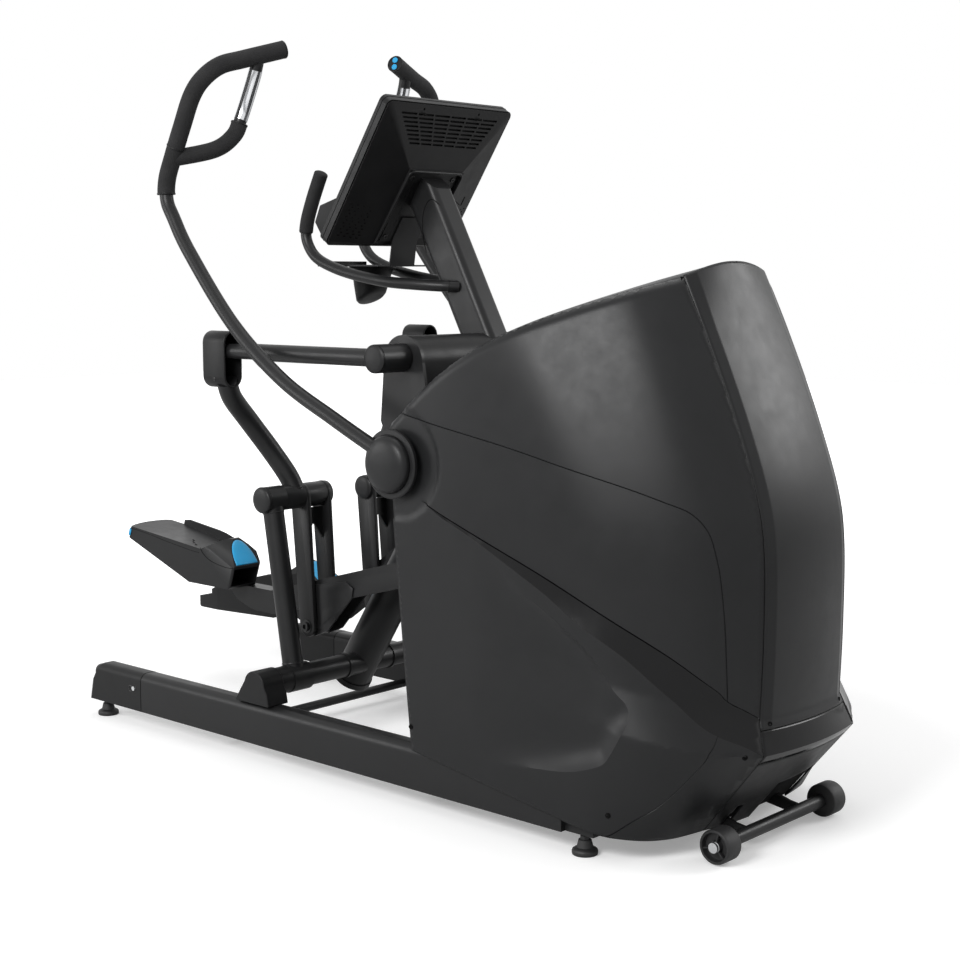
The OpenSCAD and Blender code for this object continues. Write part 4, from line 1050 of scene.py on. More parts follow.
    def build(self, side: Side) -> bpy.types.Object:
        """Makes the skin of one side.

        Args:
            side: which side.

        Returns:
            The skin.
        """
        flat, faces, deep = self.flat_mesh()
        form = Form().add(self.surface(flat, deep), faces).sheet(self.roof()).mirrored(side)
        skin = form.piece(f"housing_side_{side.word}", CHARCOAL, "frame",
                          (f"shroud_{side.word}",), angle=24, weld=0.3)
        skin.data.materials.append(SATIN_GLOSS.material())
        middles = np.array([tuple(f.center) for f in skin.data.polygons]) * 1000
        flat = np.stack([middles[:, 0] + ORIGIN_X, middles[:, 2]], axis=1)
        blade, leaf, ahead = self.zones(flat)
        region = blade + 2 * (leaf & (flat[:, 0] > self.scoop_crisp) & ~blade) + 4 * ahead
        for face, glossy in zip(skin.data.polygons, blade):
            face.material_index = int(glossy)
        self.crease(skin.data, region)
        return walled(skin, self.wall)

    @staticmethod
    def crease(mesh: bpy.types.Mesh, region: np.ndarray) -> None:
        """Marks the edges between two regions as sharp.

        Args:
            mesh: the skin's mesh.
            region: the region of each face.
        """
        work = bmesh.new()
        work.from_mesh(mesh)
        work.faces.ensure_lookup_table()
        for edge in work.edges:
            if len({int(region[face.index]) for face in edge.link_faces}) > 1:
                edge.smooth = False
        work.to_mesh(mesh)
        work.free()


@dataclass
class Housing:
    """The drive housing: two sides, front cover, glossy lip, belly and screws."""

    side: SidePanel = field(default_factory=SidePanel)
    bevel: Flat = (27.0, 11.0)     # width and height of the cover's side bevels
    bulge: float = 20.0            # crown of the cover
    wall: float = 3.5
    lip_top: float = 0.3           # places of the lip along the nose edge
    lip_low: float = 0.2
    gap: float = 2.6               # open seam between the cover and the sides
    openings: tuple = ((-16, 166, 132), (-116, -94, 92))   # y from, y to, z below
    lip_screw: Flat = (0.317, 0.86)    # place along the nose edge, and across

    def nose_row(self, t: np.ndarray, k: float) -> np.ndarray:
        """Line up the cover at a share k of its half width.

        Args:
            t: shares along the nose edge.
            k: from -1 on the right to 1 on the left.

        Returns:
            The line's points.
        """
        edge = along(NOSE_EDGE, t)
        half = edge[:, 1] - self.gap
        fold = 1 - self.bevel[0] / half
        over = np.clip((abs(k) - fold) / (1 - fold), 0, 1)
        steep = smooth((edge[:, 2] - 236) / 70)
        lift = self.bevel[1] * steep
        crown = (self.bulge - lift) * (1 - (np.minimum(abs(k), fold) / fold) ** 2)
        plain = self.bulge * (1 - k * k)
        out = np.where(steep > 0, lift * (1 - over) + crown, plain)
        out = steep * out + (1 - steep) * plain
        top = smooth((edge[:, 2] - 1100) / 117)
        return np.stack([edge[:, 0] + out + 3 * top * (1 - k * k), k * half,
                         edge[:, 2] + 30 * top * (1 - k * k)], axis=1)

    def nose_skin(self, t0: float, t1: float, rows: int) -> np.ndarray:
        """Returns the grid of a run of the cover from side to side."""
        t = np.linspace(t0, t1, rows)
        fold = 1 - self.bevel[0] / (along(NOSE_EDGE, t)[:, 1] - self.gap)
        half = ([fold + (1 - fold) * (1 - v) for v in (0.0, 0.3, 0.6, 0.85, 0.95, 1.0)]
                + [fold * v for v in np.linspace(0.97, 0, 17)])
        lines = [-k for k in half] + half[::-1][1:]
        return np.array([[self.nose_row(t[j:j + 1], float(k[j]))[0] for j in range(rows)]
                         for k in lines])

    def _skin(self, form: Form, name: str, finish: Finish, *stands_for: str) -> None:
        """Makes a walled skin.

        Args:
            form: the open form.
            name: name of the piece.
            finish: its finish.
            stands_for: CAD nodes that it replaces.
        """
        walled(form.piece(name, finish, "frame", stands_for, angle=30), self.wall)

    def cover(self) -> None:
        """Makes the tall front cover."""
        self._skin(Form().sheet(self.nose_skin(self.lip_top + 0.0012, 1, 90)),
                   "housing_front_cover", CHARCOAL, "shroud_front")

    def backing(self) -> None:
        """Sets a near-black strip behind each seam between the cover and a side: painted shade for
        the housing's dark inside.
        """
        edge = along(NOSE_EDGE, np.linspace(self.lip_low, 0.995, 90))
        for side in Side:
            strips = [edge + np.array([-back, step, 0]) for back, step in
                      ((5.5, -22.0), (9.0, -14.0), (9.0, -1.0))]
            Form().sheet(np.array(strips)).on_side(side, "housing_seam_backing", PAINTED_SHADE_AND_BLACK_DETAIL)

    def lip(self) -> None:
        """Makes the glossy lip round the foot of the cover."""
        self._skin(Form().sheet(self.nose_skin(self.lip_low + 0.0006, self.lip_top - 0.0008, 14)),
                   "housing_lip", GLOSS, "shroud_skirt")

    def belly(self) -> None:
        """Makes the panel that slopes back under the lip, open round the bracket."""
        t = np.linspace(0, self.lip_low - 0.001, 30)
        grid = np.array([self.nose_row(t, k) for k in np.linspace(-1, 1, 72)])

        def is_open(middle: np.ndarray) -> bool:
            """Tells whether the bracket's window or its arm's slot is here."""
            return any(left < middle[1] < right and middle[2] < top
                       for left, right, top in self.openings)

        self._skin(Form().sheet(grid, is_open), "housing_belly", DARK_PLASTIC)

    def pocket(self) -> None:
        """Closes the space behind the belly's openings with a near-black tray: painted shade for
        the dark inside of the housing.
        """
        line = ((1866, 44), (1938, 132), (1972, 176), (1940, 196), (1790, 196), (1790, 44))
        Form().plate(list(line), -168, 168, 1.0).piece("housing_inner_tray", PAINTED_SHADE_AND_BLACK_DETAIL, "frame",
                                                       angle=30)

    def screws(self) -> None:
        """Sets the small dark screws into the skins."""
        form = Form()
        flat = np.array([(1221, 195), (1778, 106), (2003, 238)], float)
        lifted = self.side.surface(flat, np.zeros(len(flat)))
        for side in Side:
            for p in lifted:
                q = p * np.array([1, side.value, 1])
                normal = (1.45 if p[0] > 1900 else 0.0, side.value, 0.0)
                form.screw(q, normal, 6.0, 2.0)
            t, k = self.lip_screw
            q = self.nose_row(np.array([t]), k * side.value)[0]
            form.screw(q, (1.0, 0.4 * side.value, 0.0), 5.2)
        form.piece("housing_screws", PAINTED_SHADE_AND_BLACK_DETAIL, "frame", angle=30)

    def build(self) -> None:
        """Makes every part of the housing."""
        for side in Side:
            self.side.build(side)
        self.cover()
        self.backing()
        self.lip()
        self.belly()
        self.pocket()
        self.screws()
        LOG.info("housing built")


# ------------------------------------------------------ base and transport


@dataclass
class Base:
    """The welded base: rails, end caps, feet, shaft covers and transport wheels."""

    rail_y: float = 354.0
    rail_half: float = 32.0
    cap_seam: float = 194.0

    def dress_nodes(self) -> None:
        """Gives the base's CAD nodes their finishes."""
        for node in ("transport_bracket", "inner_frame"):
            finish_node(node, POWDER)
        eased("base_frame", POWDER, 2.5, 3)
        eased("rail_end_caps", DARK_PLASTIC, 3.0, 3)
        eased("pivot_covers", DARK_PLASTIC, 3.0, 3)
        for node in ("rear_shaft", "shaft_collars"):
            finish_node(node, POWDER)
        for side in Side:
            for end in ("rear", "front"):
                finish_node(f"foot_{end}_{side.word}", RUBBER)
        finish_node("fastener_heads", ZINC)

    def cap_seams(self) -> None:
        """Lays the dark gap where each rail enters its end cap."""
        for side in Side:
            form = Form()
            r = 0.36 * 66
            arc = [(32.6 - r + r * math.cos(a), 104.6 - r + r * math.sin(a))
                   for a in np.linspace(0, math.pi / 2, 9)]
            half = [(32.6, 0.0)] + arc
            loop = half + [(-y, z) for y, z in half[::-1]]
            rings = [[(self.cap_seam + step, self.rail_y + y, 46 + z) for y, z in loop]
                     for step in (-0.2, 1.2)]
            form.loft(np.array(rings)).on_side(side, "rail_cap_gap", PAINTED_SHADE_AND_BLACK_DETAIL)

    def cap_screws(self) -> None:
        """Sinks a dark screw recess into the outer face of each rail cap."""
        for side in Side:
            form = Form()
            y = self.rail_y + self.rail_half + 0.5
            form.turned((150, y, 104), (0, 1, 0),
                        [(0, -2), (9, -2), (9, 0.5), (8, 0.9), (7, 0.5), (6.5, -1.0), (0, -1.2)],
                        steps=36)
            form.on_side(side, "rail_cap_screw", BLACK_BOLT)

    def feet_rings(self) -> None:
        """Rounds off each levelling foot with its tread ring and lock nut."""
        for side in Side:
            for end, x in (("rear", 0.0), ("front", 1700.0)):
                form = Form()
                form.turned((x, self.rail_y, 0), (0, 0, 1),
                            [(20, 0.3), (27.4, 0.6), (28.2, 3), (28.2, 8), (27, 11), (24, 13),
                             (19, 16)], steps=48)
                nut = [(x + 11 * math.cos(a), self.rail_y + 11 * math.sin(a))
                       for a in np.linspace(0, 2 * math.pi, 7)[:-1]]
                rings = [[(p, q, z) for p, q in nut] for z in (32.2, 41.0)]
                form.loft(np.array(rings)).on_side(side, f"foot_ring_{end}", RUBBER, f"foot_{end}")

    def wheels(self) -> None:
        """Makes the moulded transport wheels, dished outside and ribbed."""
        x, z = 1946.0, 40.0
        for side in Side:
            form = Form()
            form.hub((x, z), [(6.3, 186.2), (33, 186.2), (36, 187.6), (37.4, 190.5), (37.5, 211),
                              (37.4, 231), (36.2, 234.4), (34.2, 235.9), (32, 236), (30.8, 235),
                              (29.6, 226), (28, 223), (14, 222), (13, 224), (12.4, 231.4),
                              (6.3, 231.6)], steps=72)
            for k in range(3):
                a = math.radians(75 + 120 * k)
                d = np.array([math.cos(a), math.sin(a)])
                start, end = np.array([x, z]) + d * 12, np.array([x, z]) + d * 30
                across = np.array([-d[1], d[0]]) * 1.7
                form.plate([tuple(start - across), tuple(end - across), tuple(end + across),
                            tuple(start + across)], 222, 233.0, 0.5)
            form.on_side(side, "transport_wheel_tyre", RUBBER, "transport_wheel",
                         "transport_wheel", angle=30)
            bolt = Form()
            bolt.hub((x, z), [(0, 231.8), (11.4, 231.8), (11.6, 233.2), (10.8, 234.0),
                              (8.0, 234.2), (7.9, 238.4), (6.8, 239.6), (3.4, 239.8), (3.2, 236.6),
                              (0, 236.4)], steps=48)
            bolt.on_side(side, "transport_bolt", ZINC)

    def build(self) -> None:
        """Dresses and details the base."""
        self.dress_nodes()
        self.cap_seams()
        self.cap_screws()
        self.feet_rings()
        self.wheels()
        LOG.info("base dressed")


# ------------------------------------------------------------ rear linkage

REAR_SHAFT = (668.0, 196.0)
KNEE = (590.0, 648.0)
HANG = (615.0, 306.0)
GUIDE = (1110.0, 1028.0)


def link_outline(a: Flat, b: Flat, ra: float, rb: float, steps: int = 14) -> list[Flat]:
    """Outline of a link: two round eyes joined by their outer tangents.

    Args:
        a: middle of the first eye.
        b: middle of the second eye.
        ra: radius of the first.
        rb: radius of the second.
        steps: points round each eye.

    Returns:
        The outline's corners.
    """
    dx, dz = b[0] - a[0], b[1] - a[1]
    base, lean = math.atan2(dz, dx), math.acos((ra - rb) / math.hypot(dx, dz))
    first = np.linspace(base + lean, base + 2 * math.pi - lean, steps)
    second = np.linspace(base - lean, base + lean, steps)
    return ([(a[0] + ra * math.cos(t), a[1] + ra * math.sin(t)) for t in first]
            + [(b[0] + rb * math.cos(t), b[1] + rb * math.sin(t)) for t in second])


@dataclass
class RearLinkage:
    """One side's upright link, knee hub, hanger bars, bent riser, pod and guide bar."""

    side: Side
    hub_in: float = 226.0
    hub_out: float = 280.0
    bar_t: float = 12.0
    bar_in: float = 76.0
    bar_out: float = 149.0
    guide_y: float = 355.0
    riser: tuple = ((592, 172, 654), (574, 182, 700), (543, 214, 768), (528, 272, 846),
                    (534, 330, 908), (544, 355, 952))

    def coupler(self) -> None:
        """Makes the knee hub, hanger bars and riser of one side."""
        form = Form()
        form.hub(KNEE, [(0, 70), (31, 70), (32, 71.5), (32, self.hub_in - 2),
                        (31, self.hub_in - 0.5), (25, self.hub_in - 0.5), (25, self.hub_out),
                        (0, self.hub_out)])
        for y in (self.bar_in, self.bar_out):
            form.plate(link_outline(KNEE, HANG, 33, 28), y, y + self.bar_t, 2.4)
        form.hub(HANG, [(0, 77), (10, 77), (10, 158), (0, 158)])
        form.sweep(spline(list(self.riser), 10), 26, sides=40)
        form.on_side(self.side, "coupler_frame", POWDER, "coupler", "coupler")

    def coupler_trim(self) -> None:
        """Adds the knee's end caps, the bars' bolts and the weld beads."""
        caps = Form()
        caps.hub(KNEE, [(0, self.hub_out + 0.3), (31, self.hub_out + 0.3),
                        (33.4, self.hub_out + 1.4), (33.8, self.hub_out + 5),
                        (33, self.hub_out + 8), (30, self.hub_out + 10.6),
                        (22, self.hub_out + 12.6), (10, self.hub_out + 13.6),
                        (0, self.hub_out + 13.8)])
        caps.hub(KNEE, [(0, 70.4), (30, 70.4), (31.5, 68.6), (29, 66.4), (18, 64.6), (0, 64.2)])
        caps.on_side(self.side, "knee_caps", CHARCOAL, "coupler")
        bolts = Form()
        y = self.bar_out + self.bar_t
        bolts.turned((HANG[0], y, HANG[1]), (0, 1, 0),
                     [(0, 0.2), (17, 0.2), (17.5, 1.0), (17, 2.4), (12.5, 2.6), (12.4, 8.0),
                      (11.4, 9.4), (6.4, 9.6), (6.0, 5.0), (0, 4.6)], steps=48)
        bolts.turned((HANG[0], self.bar_in, HANG[1]), (0, -1, 0),
                     [(0, 0.2), (16, 0.2), (16.4, 2.2), (11.5, 2.4), (11.5, 7), (10, 8), (0, 8)],
                     steps=48)
        bolts.on_side(self.side, "hanger_bolts", BLACK_BOLT, "coupler")
        beads = Form()
        path = spline(list(self.riser), 10)
        beads.bead(path[3], unit(path[4] - path[2]), 26.6, 2.0)
        beads.on_side(self.side, "riser_weld", POWDER, "coupler")

    def gusset(self) -> None:
        """Sets the dark stiffening plate between the two hanger bars."""
        a, b = np.array(KNEE), np.array(HANG)
        d = unit(b - a)
        n = np.array([d[1], -d[0]])
        form = Form()
        top, low = a + d * 34, a + d * 118
        rings = []
        for off in (-3.0, 3.0):
            line = [(top, self.bar_in + self.bar_t), (top, self.bar_out), (low, self.bar_out),
                    (low - d * 44, (self.bar_in + self.bar_t + self.bar_out) / 2),
                    (low, self.bar_in + self.bar_t)]
            rings.append(np.array([[p[0] + n[0] * off, y, p[1] + n[1] * off] for p, y in line]))
        form.loft(np.array(rings)).on_side(self.side, "hanger_web", POWDER, "coupler", angle=20)

    def pod(self) -> None:
        """Makes the tall pod at the riser's head, with rounded edges and a hollow."""
        x0, depth, w, low, high = 482.5, 87.0, 58.0, -92.0, 50.0
        half = w / 2
        a = np.linspace(0, math.pi, 15)
        upper = [(half * math.cos(t), high - half + half * math.sin(t)) for t in a]
        lower = [(half * math.cos(t), low + half + half * math.sin(t))
                 for t in np.linspace(math.pi, 2 * math.pi, 15)]
        loop = np.array(upper + lower)
        centre = np.array([0.0, (low + high) / 2])

        def ring(x: float, inset: float) -> np.ndarray:
            """Returns the pod's outline at x, drawn in by an inset."""
            scale = 1 - inset / half
            tall = 1 - inset / ((high - low) / 2)
            flat = (loop - centre) * np.array([scale, tall]) + centre
            return np.array([[x, self.guide_y + y, 1028 + z] for y, z in flat])

        form = Form()
        form.loft(np.array([ring(x0 + 0.3, 8), ring(x0, 6.5), ring(x0 + 0.8, 3.2),
                            ring(x0 + 3.2, 0.9), ring(x0 + 6.5, 0), ring(x0 + depth - 2.5, 0),
                            ring(x0 + depth - 0.6, 0.8), ring(x0 + depth, 2.2),
                            ring(x0 + depth - 0.4, 4.4), ring(x0 + depth - 3, 5),
                            ring(x0 + 8, 6.2)]))
        form.on_side(self.side, "pod", DARK_PLASTIC, "coupler", "capsule", angle=50)
        dots = Form()
        dots.screw(np.array([530, self.guide_y + half, 958.0]), (0, 1, 0), 4.6, 0.4)
        dots.on_side(self.side, "pod_screw", BLACK_BOLT, "coupler")

    def guide_trim(self) -> None:
        """Caps the guide bar's pivot hub and rings its front end."""
        form = Form()
        y = self.guide_y + 33
        form.hub(GUIDE, [(0, y + 0.2), (30, y + 0.2), (32.4, y + 1.2), (32.6, y + 3.4),
                         (30.5, y + 5.6), (22, y + 7.0), (0, y + 7.6)])
        form.on_side(self.side, "guide_hub_cap", DARK_PLASTIC, "guide_bar")
        weld = Form()
        weld.bead(np.array([GUIDE[0] - 32.0, self.guide_y, GUIDE[1]]),
                  np.array([1.0, 0, 0]), 21.4, 2.0)
        weld.on_side(self.side, "guide_weld", POWDER, "guide_bar")

    def uprights(self) -> None:
        """Dresses the upright links and adds their weld beads."""
        a = np.array([REAR_SHAFT[0], 253.0, REAR_SHAFT[1]])
        b = np.array([KNEE[0], 253.0, KNEE[1]])
        d = unit(b - a)
        form = Form()
        for place in (a + d * 37, b - d * 34):
            form.bead(place, d, 26.8, 2.2)
        form.on_side(self.side, "upright_welds", POWDER, "upright")
        for node in (f"upright_{self.side.word}", f"guide_bar_{self.side.word}"):
            finish_node(node, POWDER)

    def build(self) -> None:
        """Makes one side of the rear linkage."""
        self.coupler()
        self.coupler_trim()
        self.gusset()
        self.pod()
        self.guide_trim()
        self.uprights()
        LOG.info("%s rear linkage built", self.side.word)


# --------------------------------------------------------------- hand arms


@dataclass
class HandArms:
    """One side's swinging hand arm with its foam grips, sensors and boss."""

    side: Side
    tube_r: float = 17.0
    grip_r: float = 22.0
    boss_r: float = 79.0
    path: tuple = ((1150, 420, 826), (1010, 420, 886), (827, 420, 971), (650, 420, 1098),
                   (488, 420, 1272), (427, 420, 1358), (402, 420, 1402), (404, 420, 1452),
                   (430, 420, 1508), (469, 420, 1581), (506, 418, 1650), (531, 402, 1692),
                   (546, 360, 1726), (561, 300, 1745), (592, 205, 1773))
    loop: tuple = ((572, 259, 1756), (560, 262, 1712), (527, 266, 1638), (518, 275, 1602),
                   (511, 292, 1563), (492, 338, 1527), (432, 416, 1505))
    steps: int = 12
    grip_from: float = 6.35        # points of the path and loop where the foam starts
    leg_grip_from: float = 3.3

    def arm(self) -> None:
        """Makes the steel arm with its boss."""
        form = Form()
        form.sweep(spline(list(self.path), self.steps)[:-3], self.tube_r, sides=40)
        form.hub(HAND_PIVOT, [(16, 403), (self.boss_r - 3, 403), (self.boss_r, 405.5),
                              (self.boss_r, 412.5), (self.boss_r - 2.5, 415),
                              (self.boss_r - 12, 415.4), (self.boss_r - 13, 413.5), (16, 413.5)],
                 steps=96)
        form.on_side(self.side, "hand_arm_tube", POWDER, "hand_arm", "hand_arm")
        cap = Form()
        r = self.boss_r
        cap.hub(HAND_PIVOT, [(0, 413.8), (r - 14.6, 413.8), (r - 14, 416), (r - 14, 422),
                             (r - 15.2, 426.5), (r - 18, 431), (r - 24, 435.5), (r - 36, 439),
                             (r - 54, 441), (0, 441.5)], steps=96)
        cap.on_side(self.side, "hand_arm_cap", CHARCOAL, "hand_arm")

    def grip(self) -> None:
        """Makes the foam sleeves with their end rings and the bare inner leg."""
        curve = spline(list(self.path), self.steps)
        tip = curve[-1] + unit(curve[-1] - curve[-4]) * 9
        first = int(self.grip_from * self.steps)
        sleeve = np.vstack([curve[first:], tip])
        form = Form()
        form.sweep(sleeve, self.grip_r, sides=44)
        leg = spline(list(self.loop), self.steps)
        low = int(self.leg_grip_from * self.steps)
        form.sweep(leg[low:], self.grip_r - 1.4, sides=40)
        form.on_side(self.side, "grip_foam", FOAM_GRIP, "hand_arm", "hand_grip", angle=60)
        rings = Form()
        for place, axis, r in ((curve[first], curve[first + 1] - curve[first - 1], 22.6),
                               (curve[first + 24], curve[first + 25] - curve[first + 23], 22.5),
                               (leg[low], leg[low + 1] - leg[low - 1], 21.2)):
            axis = unit(axis)
            rings.turned(tuple(place), tuple(axis), [(r - 5, -2.2), (r, -2.2), (r + 0.6, -1.2),
                                                     (r + 0.6, 1.2), (r, 2.2), (r - 5, 2.2)])
        rings.on_side(self.side, "grip_rings", DARK_PLASTIC, "hand_arm")
        bare = Form()
        bare.sweep(leg[:int(3.4 * self.steps)], self.tube_r - 1, sides=36)
        bare.on_side(self.side, "grip_leg", POWDER, "hand_arm")

    def sensors(self) -> None:
        """Wraps the two chrome pulse plates round the inner leg."""
        leg = spline(list(self.loop), self.steps)
        run = leg[int(0.9 * self.steps):int(3.1 * self.steps)]
        t = unit(np.gradient(run, axis=0))
        form = Form()
        for start, end in ((-72, 72), (108, 252)):
            rings = []
            for centre, axis in zip(run, t):
                n = unit(np.cross(axis, [0.0, 1, 0]))
                b = np.cross(axis, n)
                a = np.radians(np.linspace(start, end, 17))[:, None]
                outer = centre + 17.4 * (np.cos(a) * n + np.sin(a) * b)
                inner = centre + 15.6 * (np.cos(a[::-1]) * n + np.sin(a[::-1]) * b)
                rings.append(np.vstack([outer, inner]))
            form.loft(np.array(rings))
        form.on_side(self.side, "pulse_plates", SENSOR, "hand_arm", "pulse_sensors", angle=50)

    def tip_cap(self) -> None:
        """Closes the grip's tip with a rimmed cap round its two buttons."""
        curve = spline(list(self.path), self.steps)
        axis = unit(curve[-1] - curve[-4])
        form = Form()
        form.turned(tuple(curve[-1] + axis * 9), tuple(axis),
                    [(19.5, -2), (22.3, -2), (22.4, 0.6), (21.2, 2.2), (19.8, 2.4), (19.2, 0.8)],
                    steps=56)
        form.on_side(self.side, "grip_tip_rim", DARK_PLASTIC, "hand_arm")
        for which in ("up", "down"):
            finish_node(f"button_{which}_{self.side.word}", BLUE)

    def build(self) -> None:
        """Makes one hand arm."""
        self.arm()
        self.grip()
        self.sensors()
        self.tip_cap()
        LOG.info("%s hand arm built", self.side.word)


# ------------------------------------------------------ mast and handlebar


@dataclass
class Console:
    """Mast, console shell, fixed handlebar, tray and cup holder."""

    foot: Flat = (764.0, 1290.0)
    lean: float = 34.0
    bar: tuple = ((1040, 31.5, 1188), (1006, 59.5, 1190), (940, 86, 1194), (860, 100, 1200),
                  (760, 100, 1214), (670, 100, 1234), (600, 100, 1262), (566, 100, 1304),
                  (566, 100, 1346), (588, 100, 1404), (621, 100, 1470))
    steps: int = 12

    def frame_matrix(self) -> np.ndarray:
        """Returns the matrix from the console's own frame to the machine's."""
        turn_y = Matrix.Rotation(math.radians(self.lean), 4, "Y")
        shift = Matrix.Translation((self.foot[0], 0, self.foot[1]))
        return np.array(shift @ turn_y)

    def handlebar(self) -> None:
        """Makes the fixed handlebar's two arms and their foam grips."""
        curve = spline(list(self.bar), self.steps)
        cut = int(0.76 * (len(curve) - 1))
        for side in Side:
            Form().sweep(curve, 14, sides=36).mirrored(side).piece(
                f"fixed_bar_{side.word}", POWDER, "frame",
                ("handlebar",) if side is Side.RIGHT else ())
            end = curve[-1] + unit(curve[-1] - curve[-2]) * 2
            sleeve = np.vstack([curve[cut:], end])
            Form().sweep(sleeve, 18, sides=40, dome=0.4).mirrored(side).piece(
                f"fixed_grip_{side.word}", FOAM_GRIP, "frame",
                ("handlebar_grips",) if side is Side.RIGHT else (), angle=60)
            weld = Form()
            weld.bead(curve[8], unit(curve[9] - curve[7]), 14.4, 1.8)
            weld.on_side(side, "fixed_bar_weld", POWDER)

    def cup(self) -> None:
        """Makes the oval cup with its sloping floor and rim."""
        form = Form()
        centre = np.array([705.0, 0.0, 1237.8])
        a = 2 * math.pi * np.arange(56) / 56

        def ring(rx: float, ry: float, dx: float, dz: float, tilt: float) -> np.ndarray:
            """Returns an oval ring, tilted about the machine's width."""
            x, y = rx * np.cos(a), ry * np.sin(a)
            return np.stack([centre[0] + dx + x * math.cos(tilt), centre[1] + y,
                             centre[2] + dz + x * math.sin(tilt)], axis=1)

        slope = math.radians(30)
        outside = [ring(53, 67, 0, -3.6, 0), ring(53, 67, 0, -0.6, 0), ring(51.5, 65.5, 0, 0, 0),
                   ring(45, 59, 0, -0.2, 0)]
        inside_wall = [ring(43, 57, 0, -2, 0), ring(40, 50, -2, -30, slope * 0.4),
                       ring(36, 43, -5, -66, slope * 0.9), ring(31, 37, -6, -76, slope),
                       ring(16, 19, -6, -78, slope), ring(0.5, 0.5, -6, -78, slope)]
        under = [ring(0.5, 0.5, -6, -82, slope), ring(24, 27, -6, -82, slope),
                 ring(34, 38, -6, -80, slope), ring(38, 44, -5.5, -74, slope),
                 ring(42, 52, -3, -38, slope * 0.5), ring(45.5, 59.5, 0, -6, 0),
                 ring(46, 60, 0, -3.6, 0)]
        form.loft(np.array(under + outside + inside_wall))
        form.piece("cup_holder_shell", DARK_PLASTIC, "frame", ("cup_holder",), angle=45)

    @staticmethod
    def skin(y: float, z: float) -> float:
        """Returns the side slope's depth at a place of the console's back."""
        steep = 0.232 + 0.064 * (z - 24) / 222
        return 3 + (218 - abs(y)) * steep

    def shell_trim(self) -> None:
        """Adds the console's side vents, ports and bolts."""
        place = self.frame_matrix()
        # Near-black blocks in the real side vent slots: painted shade for the dark inside of the
        # vents.
        slots = Form()
        for side in Side:
            for row in range(11):
                for col in range(4):
                    y = side.value * (196 - col * 17 - (row % 2) * 5)
                    z = 34 + row * 9.0
                    slots.block((self.skin(y, z) - 0.6, y, z), (2.4, 12, 3.2))
        slots.moved(place).piece("console_side_vents", PAINTED_SHADE_AND_BLACK_DETAIL, "frame")
        # Near-black blocks and recesses in the real port openings: painted shade for the dark
        # inside of the ports.
        ports = Form()
        for y, z, w, h in ((168, 150, 13, 26), (172, 96, 12, 11)):
            ports.block((self.skin(y, z) - 0.6, y, z), (3, w, h))
        for s in (-1, 1):
            ports.turned((17.0, s * 97, 391), (0.4, 0, 0.92),
                         [(0, -12), (3.6, -12), (3.6, -8.6), (0, -8.4)], steps=24)
        ports.moved(place).piece("console_ports", PAINTED_SHADE_AND_BLACK_DETAIL, "frame")
        bolts = Form()
        for s in (-1, 1):
            for z in (52, 222):
                bolts.turned((38, s * 72, z), (1, 0, 0),
                             [(0, -3), (6.4, -3), (6.4, 1.6), (5.6, 2.6), (2.6, 2.6), (2.5, 0.6),
                              (0, 0.6)], steps=28)
        bolts.moved(place).piece("console_bolts", BLACK_BOLT, "frame")

    def keys(self) -> None:
        """Sets plain keys into the control wedge."""
        place = self.frame_matrix()
        keys = Form()
        for k in range(-3, 4):
            y = k * 44.0
            r = 11.0 if k else 16.0
            keys.turned((-72.5, y, 44), (-0.988, 0, -0.157),
                        [(0, -2), (r, -2), (r, 1.6), (r - 1.2, 2.6), (0, 3.0)], steps=36)
        keys.moved(place).piece("console_keys", RUBBER, "frame")

    def boot(self) -> None:
        """Draws the arched seam of the sleeve round the mast's head."""
        top, foot = np.array([904.0, 1425.0]), np.array([1112.0, 1036.0])
        up = unit(top - foot)
        ahead = np.array([up[1], -up[0]])
        arch = spline([(-46, -150), (-36, -108), (-14, -66), (14, -44), (34, -46), (46, -66)], 8)
        for side in Side:
            path = [(*(top + up * h + ahead * u), 37.6) for u, h in arch]
            line = np.array([[x, y, z] for x, z, y in path])
            Form().sweep(line, 0.9, sides=10).on_side(side, "mast_sleeve_seam", PAINTED_SHADE_AND_BLACK_DETAIL)

    def rims(self) -> None:
        """Lays the raised frame's rounded rim and the bezel's seams."""
        place = self.frame_matrix()

        def back(z: float) -> float:
            """Returns the frame's depth at a height."""
            return 34 + 10 * (z - 28) / 218

        half, top, r = 92.0, 243.0, 13.0
        turns = np.radians(np.linspace(0, 90, 9))
        corner = [(half - r + r * math.cos(a), top - r + r * math.sin(a)) for a in turns]
        loop = [(half, 32.0), (half, 130.0)] + corner
        line = [(y, z) for y, z in loop] + [(-y, z) for y, z in loop[::-1]]
        rim = np.array([[back(z) + 0.6, y, z] for y, z in line])
        Form().sweep(rim, 3.6, sides=16).moved(place).piece("console_frame_rim", DARK_PLASTIC,
                                                            "frame", angle=60)
        seams = Form()
        w, h, r = 220.0, 404.0, 16.0
        ring = []
        for cy, cz, a0 in ((w - r, h - r, 0), (r - w, h - r, 90), (r - w, r, 180),
                           (w - r, r, 270)):
            ring += [(cy + r * math.cos(a), cz + r * math.sin(a))
                     for a in np.radians(np.linspace(a0, a0 + 90, 9))]
        for x in (-0.3, -17.0):
            line = np.array([[x, y, z] for y, z in ring + ring[:1]])
            seams.sweep(line, 0.8, sides=8)
        seams.moved(place).piece("console_seams", PAINTED_SHADE_AND_BLACK_DETAIL, "frame")

    def dress_nodes(self) -> None:
        """Gives the console's CAD nodes their finishes."""
        finish_node("mast", POWDER)
        eased("console_back", SHELL, 2.5, 3, 28)
        eased("console_bezel", DARK_PLASTIC, 2.5, 3)
        finish_node("console_screen", GLASS)
        eased("console_mount", SHELL, 0.8)
        eased("tray", POWDER, 0.8)

    def build(self) -> None:
        """Makes the console group."""
        self.dress_nodes()
        self.handlebar()
        self.cup()
        self.shell_trim()
        self.rims()
        self.boot()
        self.keys()
        LOG.info("console and handlebar built")


# -------------------------------------------------------- foot arms, drive


